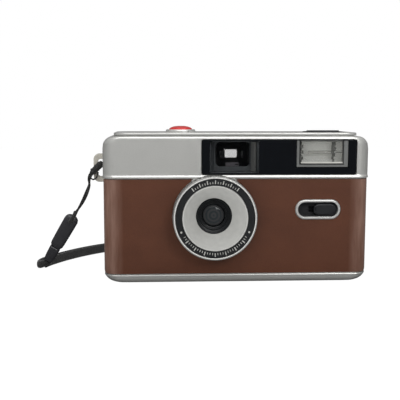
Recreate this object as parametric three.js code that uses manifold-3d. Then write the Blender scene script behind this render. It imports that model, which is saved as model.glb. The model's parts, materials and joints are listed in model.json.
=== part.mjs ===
// Compact reusable half frame film camera with a built-in flash and a wrist strap.
// Millimetres. +X is to the right as seen from the front, +Y runs from the lens to the back door,
// +Z is up. The origin is on the base, under the middle of the body.
import * as THREE from 'three';
import { mergeVertices } from 'three/addons/utils/BufferGeometryUtils.js';
import Module from 'manifold-3d';

const wasm = await Module();
wasm.setup();

// ---------------------------------------------------------------- driving dimensions
const WIDTH = 117;
const DEPTH = 34;
const HEIGHT = 64.4;
const FRONT = -DEPTH / 2;
const BACK = DEPTH / 2;
const SIDE = WIDTH / 2;
const SPLIT = 9;                 // plane where the front shell meets the back pieces
const GAP = 0.3;                 // running and assembly clearance
const WALL = 1.8;
const BAND_LOW = 3.9;            // the covering runs between these two heights
const BAND_HIGH = 46.1;
const SKIN_DEPTH = 1.05;         // recess in the shell that the covering lies in
const PLATE_TOP = 65.85;         // raised plate on top of the shells

const LENS = { x: -10, z: 29.5 };
const GATE = { width: 18, height: 24 };          // half frame picture size
const FILM_PLANE = 10.8;
const GEAR = { module: 0.705, tip: 0.35, root: 0.65, low: 51.9, high: 53.4 };
const TEETH = { wheel: 15, idler: 9, sprocket: 12 };
const SPOOL = { x: -42, y: 5 };
const SPROCKET = { x: -26.2, y: 6.4 };
const IDLER = { x: -33.6, y: 5.8 };
const REWIND = { x: 41.1, y: 2, radius: 9.3 };
const BUTTON = { x: -24.2, y: -2, radius: 5.2 };
const COUNTER = { x: 17, y: -1, radius: 6.8 };
const BATTERY = { x: 17.1, y: -7.2, radius: 5.5, contact: 47.8 };   // AAA cell, 10.5 by 44.5
const CARTRIDGE = { radius: 12.8, low: 5, high: 54, hub: 5 };       // 35 mm cartridge, 25 across
const PANEL = { left: -15.5, right: 52.2, low: 47.7, high: 63 };
const FINDER = { left: -12, right: 9.4, low: 48.4, high: 62.3 };
const FLASH = { left: 25.7, right: 48.7, low: 50.8, high: 62.6 };
const SWITCH = { x: 35.6, z: 32.4, width: 19.8, height: 8.5, rim: 1, travel: 6.1 };
const HINGE = { x: -58, y: 10.6, low: 8, high: 46, radius: 1.2 };
const LUG = { y: 0, low: 43.2, high: 56.4, out: 63.9 };

// ---------------------------------------------------------------- solids from three.js geometry
function solid(geometry) {
  geometry.deleteAttribute('normal');
  geometry.deleteAttribute('uv');
  const merged = mergeVertices(geometry, 1e-4);
  const index = merged.index.array;
  const triangles = [];
  for (let i = 0; i < index.length; i += 3) {
    const [a, b, c] = [index[i], index[i + 1], index[i + 2]];
    if (a !== b && b !== c && c !== a) triangles.push(a, b, c);
  }
  const vertProperties = new Float32Array(merged.attributes.position.array);
  const triVerts = new Uint32Array(triangles);
  return new wasm.Manifold(new wasm.Mesh({ numProp: 3, vertProperties, triVerts }));
}

function box(x0, x1, y0, y1, z0, z1) {
  const geometry = new THREE.BoxGeometry(x1 - x0, y1 - y0, z1 - z0);
  geometry.translate((x0 + x1) / 2, (y0 + y1) / 2, (z0 + z1) / 2);
  return solid(geometry);
}

// A box whose front and back faces differ: each face is [x0, x1, z0, z1].
function taperedBox(frontFace, y0, backFace, y1) {
  const geometry = new THREE.BoxGeometry(1, 1, 1);
  const position = geometry.attributes.position;
  for (let i = 0; i < position.count; i++) {
    const face = position.getY(i) < 0 ? frontFace : backFace;
    const x = position.getX(i) < 0 ? face[0] : face[1];
    const z = position.getZ(i) < 0 ? face[2] : face[3];
    position.setXYZ(i, x, position.getY(i) < 0 ? y0 : y1, z);
  }
  return solid(geometry);
}

function rodX(y, z, radius, x0, x1, sides = 16) {
  const geometry = new THREE.CylinderGeometry(radius, radius, x1 - x0, sides);
  geometry.rotateZ(Math.PI / 2);
  geometry.translate((x0 + x1) / 2, y, z);
  return solid(geometry);
}

function rodY(x, z, radius, y0, y1, sides = 32) {
  const geometry = new THREE.CylinderGeometry(radius, radius, y1 - y0, sides);
  geometry.translate(x, (y0 + y1) / 2, z);
  return solid(geometry);
}

function rodZ(x, y, radius, z0, z1, sides = 20) {
  const geometry = new THREE.CylinderGeometry(radius, radius, z1 - z0, sides);
  geometry.rotateX(Math.PI / 2);
  geometry.translate(x, y, (z0 + z1) / 2);
  return solid(geometry);
}

// Turns a closed (radius, height) outline, listed clockwise, about its height axis.
function turned(outline, sides) {
  const points = outline.map(([radius, height]) => new THREE.Vector2(radius, height));
  if (outline[0][0] > 0) points.push(points[0].clone());
  return new THREE.LatheGeometry(points, sides);
}

// Turned piece about the lens axis: heights are Y positions.
function lensTurned(outline, sides = 26) {
  const geometry = turned(outline, sides);
  geometry.translate(LENS.x, 0, LENS.z);
  return outward(geometry);
}

function turnedZ(x, y, outline, sides = 20) {
  const geometry = turned(outline, sides);
  geometry.rotateX(Math.PI / 2);
  geometry.translate(x, y, 0);
  return outward(geometry);
}

// Flips a closed geometry whose triangles face inward.
function outward(geometry) {
  const position = geometry.attributes.position;
  const index = geometry.index.array;
  const [a, b, c] = [new THREE.Vector3(), new THREE.Vector3(), new THREE.Vector3()];
  let volume = 0;
  for (let i = 0; i < index.length; i += 3) {
    a.fromBufferAttribute(position, index[i]);
    b.fromBufferAttribute(position, index[i + 1]);
    c.fromBufferAttribute(position, index[i + 2]);
    volume += a.dot(b.cross(c));
  }
  if (volume < 0) index.reverse();
  return solid(geometry);
}

// Closed outline with a radius at each corner: lower left, lower right, upper right, upper left.
function outline(x0, x1, y0, y1, radii) {
  const [lowLeft, lowRight, highRight, highLeft] = radii;
  const shape = new THREE.Shape();
  shape.moveTo(x0 + lowLeft, y0);
  shape.absarc(x1 - lowRight, y0 + lowRight, lowRight, -Math.PI / 2, 0);
  shape.absarc(x1 - highRight, y1 - highRight, highRight, 0, Math.PI / 2);
  shape.absarc(x0 + highLeft, y1 - highLeft, highLeft, Math.PI / 2, Math.PI);
  shape.absarc(x0 + lowLeft, y0 + lowLeft, lowLeft, Math.PI, Math.PI * 1.5);
  return shape;
}

function rounded(x0, x1, y0, y1, radius) {
  return outline(x0, x1, y0, y1, [radius, radius, radius, radius]);
}

function extruded(shape, length, curveSegments) {
  return new THREE.ExtrudeGeometry(shape, { depth: length, bevelEnabled: false, curveSegments });
}

// Shape drawn in X and Z, as seen from the front, between two Y positions.
function alongY(shape, y0, y1, curveSegments = 2) {
  const geometry = extruded(shape, y1 - y0, curveSegments);
  geometry.rotateX(Math.PI / 2);
  geometry.translate(0, y1, 0);
  return solid(geometry);
}

// Shape drawn in X and Y, as seen from above, between two heights.
function alongZ(shape, z0, z1, curveSegments = 2) {
  const geometry = extruded(shape, z1 - z0, curveSegments);
  geometry.translate(0, 0, z0);
  return solid(geometry);
}

// Shape drawn in Y and Z, as seen from the side, between two X positions.
function alongX(shape, x0, x1, curveSegments = 2) {
  const geometry = extruded(shape, x1 - x0, curveSegments);
  const turn = new THREE.Matrix4();
  turn.makeBasis(new THREE.Vector3(0, 1, 0), new THREE.Vector3(0, 0, 1), new THREE.Vector3(1, 0, 0));
  geometry.applyMatrix4(turn);
  geometry.translate(x0, 0, 0);
  return solid(geometry);
}

function join(first, ...others) {
  return others.reduce((sum, piece) => sum.add(piece), first);
}

function cut(body, ...tools) {
  return tools.reduce((rest, tool) => rest.subtract(tool), body);
}

// ---------------------------------------------------------------- body outline
// The outer form, moved inward by one inset per side.
function bodyBlock({ sides = 0, front = 0, back = 0, base = 0, top = 0 }) {
  const radius = (full, inset) => Math.max(full - inset, 0.4);
  const x = SIDE - sides;
  const [y0, y1] = [FRONT + front, BACK - back];
  const [z0, z1] = [base, HEIGHT - top];
  const low = radius(6, sides);
  const high = radius(5, sides);
  const corner = radius(5.5, sides);
  const frontView = outline(-x, x, z0, z1, [low, low, high, high]);
  const plan = rounded(-x, x, y0, y1, corner);
  const profile = outline(y0, y1, z0, z1, [radius(3, front), radius(3, back), radius(3, back), radius(1.2, front)]);
  return alongY(frontView, y0, y1).intersect(alongZ(plan, z0, z1)).intersect(alongX(profile, -x, x));
}

function skinLayer(outerInset, innerInset, y1, z0, z1) {
  const outer = bodyBlock({ sides: outerInset, front: outerInset });
  const inner = bodyBlock({ sides: innerInset, front: innerInset });
  return outer.subtract(inner).intersect(box(-SIDE, SIDE, FRONT - 1, y1, z0, z1));
}

function switchPill(inset) {
  const half = { x: SWITCH.width / 2 - inset, z: SWITCH.height / 2 - inset };
  return rounded(SWITCH.x - half.x, SWITCH.x + half.x, SWITCH.z - half.z, SWITCH.z + half.z, half.z - 0.01);
}

function batteryPlan(grow) {
  return [BATTERY.x - 6.4 - grow, BATTERY.x + 6.4 + grow, BATTERY.y - 6.1 - grow, BATTERY.y + 6.1 + grow];
}

const SCREWS = [{ x: -50.5, y: -5.5 }, { x: 52.5, y: -9.5 }];
const RELEASE = { x: -25.5, y: -6, radius: 1.8 };
const COUNTER_WINDOW = { x: COUNTER.x, y: COUNTER.y - 4, radius: 2.4 };

function lensBrow(grow) {
  const ring = rodY(LENS.x, LENS.z, 19.7 + grow, FRONT, FRONT + SKIN_DEPTH + 0.2, 40);
  return ring.intersect(box(-40, 20, FRONT - 1, 0, 43.2 - grow, BAND_HIGH + 0.3));
}

function lugOutline(grow) {
  return rounded(-LUG.out - grow, -54.9, LUG.low - grow, LUG.high + grow, 2.6);
}

// ---------------------------------------------------------------- casing
function frontShell() {
  const block = bodyBlock({}).intersect(box(-SIDE, SIDE, FRONT - 1, SPLIT, -1, HEIGHT + 1));
  const hollow = bodyBlock({ sides: 2.6, front: 2.6, base: 2.2, top: 1.6 });
  const [bx0, bx1, by0, by1] = batteryPlan(GAP);
  const shell = cut(
    block,
    hollow,
    skinLayer(-1, SKIN_DEPTH, SPLIT - 2.2, BAND_LOW, BAND_HIGH),
  ).add(lensBrow(0));
  const frontHoles = [
    rodY(LENS.x, LENS.z, 17.7, FRONT - 1, FRONT + SKIN_DEPTH, 32),
    rodY(LENS.x, LENS.z, 12, FRONT - 1, -13, 20),
    alongY(rounded(PANEL.left - GAP, PANEL.right + GAP, PANEL.low - 0.25, PANEL.high + 0.25, 1.2), -18, -15.25),
    box(FINDER.left - 0.6, FINDER.right + 0.6, -18, -13, FINDER.low - 0.4, FINDER.high + 0.2),
    box(FLASH.left, FLASH.right, -18, -13, FLASH.low, FLASH.high - 0.2),
    alongY(switchPill(0.6), -18, -13, 3),
  ];
  const topHoles = [
    rodZ(BUTTON.x, BUTTON.y, 2, 60, 70, 10),
    rodZ(REWIND.x, REWIND.y, REWIND.radius + 0.4, 60, 70, 28),
    rodZ(COUNTER_WINDOW.x, COUNTER_WINDOW.y, COUNTER_WINDOW.radius + GAP, 60, 70, 12),
  ];
  const baseHoles = [
    box(bx0, bx1, by0, by1, -1, 3),
    rodZ(RELEASE.x, RELEASE.y, RELEASE.radius + GAP, -1, 3, 12),
    ...SCREWS.map(({ x, y }) => rodZ(x, y, 2.2, -1, 1.4, 12)),
    ...SCREWS.map(({ x, y }) => rodZ(x, y, 1.2, -1, 3, 8)),
  ];
  const lugSlots = alongY(lugOutline(GAP), LUG.y - 1.6, LUG.y + 1.6, 2).subtract(box(-70, -50, -2, 2, 46.4, 53.2));
  const trimmed = cut(shell, ...frontHoles, ...topHoles, ...baseHoles, lugSlots);
  return trimmed.add(hingeKnuckles([[8.3, 18], [22, 32], [36, 45.7]], 7)).subtract(hingeBore());
}

function hingeKnuckles(spans, rootY) {
  const knuckles = spans.map(([z0, z1]) => join(
    rodZ(HINGE.x, HINGE.y, HINGE.radius, z0, z1, 12),
    box(HINGE.x - 0.45, HINGE.x + 0.9, Math.min(rootY, HINGE.y), Math.max(rootY, HINGE.y), z0, z1),
  ));
  return join(...knuckles);
}

function hingeBore() {
  return rodZ(HINGE.x, HINGE.y, 0.75, HINGE.low - 5, HINGE.high + 5, 10);
}

function leatherette() {
  const layer = skinLayer(0.25, 0.75, SPLIT - 2.5, BAND_LOW + GAP, BAND_HIGH - GAP);
  return cut(
    layer,
    rodY(LENS.x, LENS.z, 17.8, FRONT - 2, -12, 32),
    lensBrow(GAP),
    alongY(switchPill(-0.25), FRONT - 2, -12, 3),
    box(-64, -50, -2, 2, LUG.low - 0.7, BAND_HIGH),
  );
}

function topPlate() {
  const plate = alongZ(rounded(-53.6, 53.6, FRONT + 1.5, BACK - 2, 6), HEIGHT + 0.25, PLATE_TOP, 3);
  return cut(
    plate,
    rodZ(BUTTON.x, BUTTON.y, 6.9, 60, 70, 20),
    rodZ(REWIND.x, REWIND.y, REWIND.radius + 0.4, 60, 70, 28),
    rodZ(COUNTER_WINDOW.x, COUNTER_WINDOW.y, COUNTER_WINDOW.radius + GAP, 60, 70, 12),
  );
}

function windowPanel() {
  const plate = alongY(rounded(PANEL.left, PANEL.right, PANEL.low, PANEL.high, 1), -16.85, -15.55);
  return cut(
    plate,
    box(FINDER.left, FINDER.right, -18, -15, FINDER.low, FINDER.high),
    box(FLASH.left, FLASH.right, -18, -15, FLASH.low, FLASH.high),
  );
}

function rearCover() {
  const block = bodyBlock({}).intersect(join(
    box(-SIDE, SIDE, SPLIT + GAP, BACK + 1, 52.7, HEIGHT + 1),
    box(-9.3, 8.7, SPLIT + GAP, BACK + 1, 49.3, 53),
  ));
  const hollow = bodyBlock({ sides: WALL, front: WALL, back: WALL, base: WALL, top: 1.6 });
  const wheelSlot = box(SPOOL.x - 9.8, SPOOL.x + 9.8, 12, BACK + 1, 53.8, 60.2);
  const eyeHole = box(-3.7, 4, 12, BACK + 1, 52.8, 58);
  const lampHole = rodY(8, 56, 1.5, 12, BACK + 1, 12);
  const knobHole = rodZ(REWIND.x, REWIND.y, REWIND.radius + 0.4, 60, 70, 28);
  return cut(block, hollow, wheelSlot, eyeHole, lampHole, knobHole);
}

function backDoor() {
  const block = bodyBlock({}).intersect(box(-SIDE, SIDE, SPLIT + GAP, BACK + 1, -1, 52.4));
  const hollow = bodyBlock({ sides: WALL, front: WALL, back: WALL, base: WALL, top: WALL });
  const cavity = hollow.intersect(box(-SIDE, SIDE, 0, BACK, 0, 51.1));
  const tray = cut(
    block,
    cavity,
    box(-56.7, 56.7, 8, 11.4, WALL, 53),
    box(-9.6, 9, 8, BACK + 1, 49, 53),
    box(-9.6, 9, 8, 15.2, 47.4, 53),
    box(-60, -56.2, 8, 12.2, 7.5, 46.5),
    alongY(rounded(38.2, 44, 16, 42, 1), 14, BACK + 1, 1),
    box(56, 60, 10.9, 13.5, 22.5, 33.2),
  );
  const knuckles = hingeKnuckles([[18.4, 21.6], [32.4, 35.6]], 13);
  const thumbPad = alongY(rounded(-54, -40, 12, 40, 2), BACK - 0.4, BACK + 0.9, 1);
  return tray.add(knuckles).add(thumbPad).subtract(hingeBore());
}

function doorLatch() {
  return join(
    box(58.8, 59.8, 10.2, 14.4, 20, 32),
    box(55.9, 58.9, 11.3, 13.1, 23, 29.2),
    box(54.9, 56, 11.2, 13.4, 21.4, 30.6),
  );
}

function pressureSpring() {
  const bow = new THREE.Shape();
  bow.moveTo(-8, 12.5);
  bow.quadraticCurveTo(0, 17.1, 8, 12.5);
  bow.lineTo(8, 12.8);
  bow.quadraticCurveTo(0, 17.5, -8, 12.8);
  bow.closePath();
  return alongZ(bow, LENS.z - 5, LENS.z + 5, 8).subtract(box(-9, 9, 14.95, 20, 0, 60));
}

// ---------------------------------------------------------------- film chamber
function chassis() {
  const frame = join(
    box(-31.5, 27.6, 7, FILM_PLANE, 3.2, 49.4),
    box(26.4, 54.8, -12.6, FILM_PLANE, 3.4, 55.6),
    box(-54.2, -19.6, -7.5, FILM_PLANE, 3.2, 51.4),
    box(-20.4, 0.4, -6.4, 8, 16.1, 42.9),
    box(BATTERY.x - 6.2, BATTERY.x + 6.2, BATTERY.y - 6.3, BATTERY.y + 6.2, 3.2, 49.5),
    box(15, 19, -2, 8, 3.2, 48.4),
    rodZ(IDLER.x, IDLER.y, 0.9, 51, 53.6, 8),
  );
  const half = { x: GATE.width / 2, z: GATE.height / 2 };
  const gateFace = [LENS.x - half.x, LENS.x + half.x, LENS.z - half.z, LENS.z + half.z];
  const lightFace = [LENS.x - 4, LENS.x + 4, LENS.z - 4, LENS.z + 4];
  return cut(
    frame,
    taperedBox(lightFace, -7, gateFace, 8.2),
    box(gateFace[0], gateFace[1], 8, 12, gateFace[2], gateFace[3]),
    rodZ(REWIND.x, REWIND.y, CARTRIDGE.radius, CARTRIDGE.low, CARTRIDGE.high, 24),
    box(REWIND.x - CARTRIDGE.radius, REWIND.x + CARTRIDGE.radius, REWIND.y, 12, CARTRIDGE.low, CARTRIDGE.high),
    rodZ(REWIND.x, REWIND.y, CARTRIDGE.hub, 3, 6, 12),
    box(26, 49.4, -13, -11.2, 50.6, 56),
    rodZ(REWIND.x, REWIND.y, 3, 50, 60, 12),
    rodZ(SPOOL.x, SPOOL.y - 0.6, 10.6, 4.2, 50, 20),
    box(SPOOL.x - 10.6, SPOOL.x + 10.6, SPOOL.y, 12, 4.2, 50),
    rodZ(SPOOL.x, SPOOL.y, 2.3, 45, 60, 12),
    box(-32, -20.8, 0.8, 12, 4.6, 50),
    rodZ(SPROCKET.x, SPROCKET.y, 2.6, 45, 60, 12),
    rodZ(BATTERY.x, BATTERY.y, BATTERY.radius, 2, BATTERY.contact + 0.8, 16),
    box(-31.5, -19, -10, -0.4, 2, 60),
    ...SCREWS.map(({ x, y }) => rodZ(x, y, 1.2, 2, 7, 8)),
  );
}

function takeUpSpool() {
  const core = turnedZ(SPOOL.x, SPOOL.y, [
    [0, 4.6], [8, 4.6], [8, 5.6], [5.4, 5.6], [5.4, 48.6], [8, 48.6], [8, 49.6], [1.9, 49.6], [1.9, 51.6], [0, 51.6],
  ], 16);
  return core.subtract(box(SPOOL.x - 1, SPOOL.x + 1, SPOOL.y - 9, SPOOL.y + 9, 14, 45));
}

// Toothed disc: each tooth is one pair of points, a tip and a root.
function gearRing(centre, radius, root, teeth, z0, z1, firstTip = 0) {
  const step = (Math.PI * 2) / teeth;
  const points = [];
  for (let i = 0; i < teeth; i++) {
    for (const [share, r] of [[0, radius], [0.5, root]]) {
      const angle = firstTip + step * (i + share);
      points.push(new THREE.Vector2(centre.x + r * Math.cos(angle), centre.y + r * Math.sin(angle)));
    }
  }
  return alongZ(new THREE.Shape(points), z0, z1);
}

function gear(centre, teeth, firstTip) {
  const pitch = (GEAR.module * teeth) / 2;
  return gearRing(centre, pitch + GEAR.tip, pitch - GEAR.root, teeth, GEAR.low, GEAR.high, firstTip);
}

function angleTo(from, to) {
  return Math.atan2(to.y - from.y, to.x - from.x);
}

// Angle of a tip on a driven gear, so that one of its gaps receives the driver's tooth.
function meshedTip(driver, driverTeeth, driverTip, driven, teeth) {
  const line = angleTo(driver, driven);
  const lead = (driverTip - line) * (driverTeeth / teeth);
  return line + Math.PI - lead + Math.PI / teeth;
}

const WHEEL_TIP = angleTo(SPOOL, IDLER);
const IDLER_TIP = meshedTip(SPOOL, TEETH.wheel, WHEEL_TIP, IDLER, TEETH.idler);
const SPROCKET_TIP = meshedTip(IDLER, TEETH.idler, IDLER_TIP, SPROCKET, TEETH.sprocket);

function sprocketShaft() {
  const { x, y } = SPROCKET;
  const toothedRims = [15.4, 43.6].map((z) => gearRing(SPROCKET, 4.9, 3.7, 8, z - 0.8, z + 0.8));
  return join(
    rodZ(x, y, 2.1, 5, 53.4, 12),
    ...toothedRims,
    gear(SPROCKET, TEETH.sprocket, SPROCKET_TIP),
  );
}

function advanceThumbwheel() {
  const { x, y } = SPOOL;
  return join(
    gearRing(SPOOL, 13.4, 12.6, 30, 54.4, 59.6),
    rodZ(x, y, 3, 51.9, 61.4, 12),
    gear(SPOOL, TEETH.wheel, WHEEL_TIP),
  );
}

function idlerGear() {
  return gear(IDLER, TEETH.idler, IDLER_TIP).subtract(rodZ(IDLER.x, IDLER.y, 1.2, 50, 55, 8));
}

function counterDial() {
  const { x, y, radius } = COUNTER;
  return join(rodZ(x, y, radius, 61.2, 62.1, 24), rodZ(x, y, 1, 49.8, 61.3, 8));
}

// ---------------------------------------------------------------- top controls
function buttonCap() {
  const { x, y, radius } = BUTTON;
  return turnedZ(x, y, [
    [0, 59], [1.6, 59], [1.6, 67], [4.3, 67], [4.3, 65.95], [radius, 65.95], [radius, 67],
    [4.9, 67.5], [3.9, 68.1], [2.2, 68.5], [0, 68.6],
  ], 20);
}

function buttonCollar() {
  const { x, y } = BUTTON;
  return turnedZ(x, y, [[5.5, 64.7], [6.6, 64.7], [6.6, 66.6], [6.3, 67.1], [5.7, 67.1], [5.5, 66.8]], 20);
}

function coil(centre, radius, wire, z0, z1, turns, stepsPerTurn = 8) {
  const points = [];
  const steps = turns * stepsPerTurn;
  for (let i = 0; i <= steps; i++) {
    const angle = (i / stepsPerTurn) * Math.PI * 2;
    const z = z0 + wire + ((z1 - z0 - 2 * wire) * i) / steps;
    points.push(new THREE.Vector3(centre.x + radius * Math.cos(angle), centre.y + radius * Math.sin(angle), z));
  }
  return swept(points, roundSection(wire, 4), steps);
}

function roundSection(radius, sides) {
  const shape = new THREE.Shape();
  for (let i = 0; i < sides; i++) {
    const angle = (i / sides) * Math.PI * 2;
    const [x, y] = [radius * Math.cos(angle), radius * Math.sin(angle)];
    if (i === 0) shape.moveTo(x, y);
    else shape.lineTo(x, y);
  }
  return shape;
}

function swept(points, section, steps) {
  const extrudePath = new THREE.CatmullRomCurve3(points, false, 'centripetal');
  return outward(mergeVertices(stripped(new THREE.ExtrudeGeometry(section, { steps, extrudePath })), 1e-5));
}

function stripped(geometry) {
  geometry.deleteAttribute('normal');
  geometry.deleteAttribute('uv');
  return geometry;
}

const PIVOT = { x: REWIND.x - 6.5, z: 65.6, radius: 0.95 };

function rewindKnob() {
  const { x, y, radius } = REWIND;
  const cup = rodZ(x, y, radius, 62.2, 66.1, 28);
  const pin = rodY(PIVOT.x, PIVOT.z, 0.5, y - 2.6, y + 2.6, 8);
  return cut(
    cup,
    box(x - 10, x + 8.3, y - 2.3, y + 2.3, 64.3, 67),
    rodZ(x + 5.6, y, 2.3, 62.7, 67, 12),
  ).add(pin);
}

function rewindCrank() {
  const { x, y } = REWIND;
  const arm = join(
    box(PIVOT.x, x + 5.6, y - 2, y + 2, 65.35, 66.55),
    rodZ(x + 5.6, y, 2, 65.35, 66.55, 12),
    rodY(PIVOT.x, PIVOT.z, PIVOT.radius, y - 2, y + 2, 12),
  );
  return arm.subtract(rodY(PIVOT.x, PIVOT.z, 0.75, y - 3, y + 3, 8));
}

function crankGrip() {
  return rodZ(REWIND.x + 5.6, REWIND.y, 1.9, 63, 65.05, 12);
}

function rewindFork() {
  const { x, y } = REWIND;
  return join(rodZ(x, y, 1.9, 50.2, 61.9, 14), box(x - 0.5, x + 0.5, y - 1.8, y + 1.8, 47.9, 50.4));
}

function rewindBush() {
  const { x, y } = REWIND;
  return cut(rodZ(x, y, 3.4, 58.6, 59.6, 12), rodZ(x, y, 2.2, 58, 60, 12));
}

// ---------------------------------------------------------------- viewfinder
const FINDER_THROAT = [-8.9, 6.3, 48.5, 62];
const EYEPIECE = [-3.3, 2.9, 53.4, 57.5];

function grown([x0, x1, z0, z1], by) {
  return [x0 - by, x1 + by, z0 - by, z1 + by];
}

function finderTunnel() {
  const mouth = [FINDER.left + 0.2, FINDER.right - 0.2, FINDER.low + 0.2, FINDER.high - 0.2];
  const outer = join(
    taperedBox([mouth[0] - 0.8, mouth[1] + 0.8, mouth[2] - 0.9, 62.5], -14.1, [-9.8, 7.2, 47.6, 62.5], -7),
    taperedBox([-9.8, 7.2, 47.6, 62.5], -7.05, grown(EYEPIECE, 1), 12.6),
    taperedBox(grown(EYEPIECE, 1), 12.5, grown(EYEPIECE, 1.1), 14.9),
  );
  return cut(
    outer,
    taperedBox(mouth, -15, FINDER_THROAT, -6.95),
    box(...FINDER_THROAT.slice(0, 2), -7, -4.6, ...FINDER_THROAT.slice(2)),
    taperedBox(grown(FINDER_THROAT, -0.8), -4.8, EYEPIECE, 12.6),
    box(...EYEPIECE.slice(0, 2), 12, 16, ...EYEPIECE.slice(2)),
  );
}

function pane([x0, x1, z0, z1], y0, y1, radius) {
  return alongY(rounded(x0, x1, z0, z1, radius), y0, y1, 1);
}

// ---------------------------------------------------------------- flash
function flashFrame() {
  const outer = box(FLASH.left + GAP, FLASH.right - GAP, -16.6, -13.4, FLASH.low + GAP, FLASH.high - 0.5);
  return outer.subtract(box(28, 46.4, -18, -12, 52.4, 61.5));
}

function flashFresnel() {
  const ribs = new THREE.Shape();
  const [low, high, count] = [52.7, 61.2, 8];
  const pitch = (high - low) / count;
  ribs.moveTo(-14.7, low);
  ribs.lineTo(-15.7, low);
  for (let i = 0; i < count; i++) {
    ribs.lineTo(-16.1, low + pitch * (i + 0.5));
    ribs.lineTo(-15.7, low + pitch * (i + 1));
  }
  ribs.lineTo(-14.7, high);
  ribs.closePath();
  return alongX(ribs, 28.3, 46.1);
}

function flashReflector() {
  const outer = taperedBox([27.2, 47.2, 51.6, 62.1], -13.1, [30, 44.4, 54, 60.4], -11.5);
  return outer.subtract(taperedBox([28.2, 46.2, 52.6, 61.1], -13.15, [31, 43.4, 55.2, 59.2], -12));
}

function circuitBoard() {
  const board = box(25.4, 54.6, -9.8, 8.4, 57, 58);
  return cut(
    join(board, box(46.5, 52.5, -5, 1, 57.9, 61.6), box(27, 31, -8, -4, 57.9, 60.5), box(27, 30, 2, 7, 57.9, 61)),
    rodZ(REWIND.x, REWIND.y, 4, 50, 60, 18),
  );
}

function batteryDoor() {
  const [x0, x1, y0, y1] = batteryPlan(0);
  const plate = box(x0 + 0.75, x1, y0, y1, 0.15, 1.35);
  const barrel = rodY(x0 + 0.75, 0.9, 0.75, y0, y1, 12);
  return join(plate, barrel, box(x1 - 3, x1 - 1.5, y0 + 3, y1 - 3, 1.3, 2.1));
}

function batteryContact() {
  const half = 3;
  const { x, y, contact } = BATTERY;
  return box(x - half, x + half, y - half, y + half, contact, contact + 0.5);
}

// ---------------------------------------------------------------- flash switch
const STEM = { left: SWITCH.x + 2.5, right: SWITCH.x + 4.9 };

function flashSwitchBezel() {
  const ring = alongY(switchPill(0), -17.35, -16.2, 3);
  return ring.subtract(alongY(switchPill(SWITCH.rim), -18, -16, 3));
}

function flashSwitchTrack() {
  const tray = alongY(switchPill(SWITCH.rim + 0.2), -16.4, -13.6, 3);
  const recess = alongY(switchPill(SWITCH.rim + 0.7), -17, -15, 3);
  const slotLeft = STEM.left - SWITCH.travel - GAP;
  return cut(tray, recess, box(slotLeft, STEM.right + GAP, -16, -13, SWITCH.z - 1.3, SWITCH.z + 1.3));
}

function flashSwitchKnob() {
  const right = SWITCH.x + SWITCH.width / 2 - SWITCH.rim - 0.9;
  const left = right - 9.9;
  const half = SWITCH.height / 2 - SWITCH.rim - 0.9;
  const cap = rounded(left, right, SWITCH.z - half, SWITCH.z + half, half - 0.01);
  return join(alongY(cap, -17.2, -15.3, 3), box(STEM.left, STEM.right, -15.4, -13.2, SWITCH.z - 1, SWITCH.z + 1));
}

// ---------------------------------------------------------------- lens and shutter
function lensBarrel() {
  return lensTurned([
    [17.3, -24], [17.95, -24], [18.15, -23.5], [18.15, -17.3], [17.4, -17.3], [17.4, -16.25],
    [16.2, -16.25], [16.2, -21.6], [17.3, -21.6],
  ]);
}

function legendRing() {
  return lensTurned([[14.25, -23.7], [17, -23.7], [17, -23], [14.25, -23]]);
}

function lensCone() {
  return lensTurned([
    [13.6, -23.85], [14, -23.85], [14, -22.7], [17, -22.7], [17, -21.9], [13.6, -21.9],
    [8.9, -15.2], [7.95, -15.2], [7.95, -15.8],
  ]);
}

function lensCell() {
  return lensTurned([
    [7.3, -15.4], [7.6, -15.4], [7.6, -14], [10.5, -14], [10.5, -12.8], [7, -12.8], [7, -9.4], [4, -9.4],
    [4, -10.5], [5.2, -10.5], [5.2, -13], [6.2, -13.4], [6.2, -14.4],
  ], 18);
}

function frontLens() {
  return lensTurned([[0, -12.9], [2.6, -12.7], [4.4, -12.2], [4.9, -11.8], [4.9, -11.1], [0, -10.9]], 18);
}

function rearLens() {
  return lensTurned([[0, -10.4], [3.7, -10.2], [3.7, -9.7], [0, -9.3]], 14);
}

const SHUTTER_PIVOT = { x: LENS.x + 8, z: LENS.z - 7 };

function shutterPlate() {
  const plate = box(-23.8, 1, -9, -8.2, 18.6, 40.6);
  const pin = rodY(SHUTTER_PIVOT.x, SHUTTER_PIVOT.z, 0.6, -8.3, -6.9, 10);
  return plate.subtract(rodY(LENS.x, LENS.z, 1.75, -10, -7, 20)).add(pin);
}

function shutterBlade() {
  const arm = new THREE.Shape();
  arm.moveTo(SHUTTER_PIVOT.x + 1, SHUTTER_PIVOT.z + 1.2);
  arm.lineTo(LENS.x + 1.4, LENS.z + 2.8);
  arm.lineTo(LENS.x - 2.2, LENS.z - 2.2);
  arm.lineTo(SHUTTER_PIVOT.x - 1, SHUTTER_PIVOT.z - 1.2);
  arm.closePath();
  return join(
    alongY(arm, -7.9, -7.3),
    rodY(LENS.x, LENS.z, 3.1, -7.9, -7.3, 16),
    rodY(SHUTTER_PIVOT.x, SHUTTER_PIVOT.z, 1.7, -7.9, -7.3, 12),
  ).subtract(rodY(SHUTTER_PIVOT.x, SHUTTER_PIVOT.z, 0.85, -9, -6, 10));
}

// ---------------------------------------------------------------- small hardware
function baseScrew({ x, y }) {
  const screw = join(rodZ(x, y, 1.8, 0.35, 1.1, 12), rodZ(x, y, 0.85, 1, 6, 8));
  return cut(screw, box(x - 1.2, x + 1.2, y - 0.25, y + 0.25, 0, 0.65), box(x - 0.25, x + 0.25, y - 1.2, y + 1.2, 0, 0.65));
}

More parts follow.
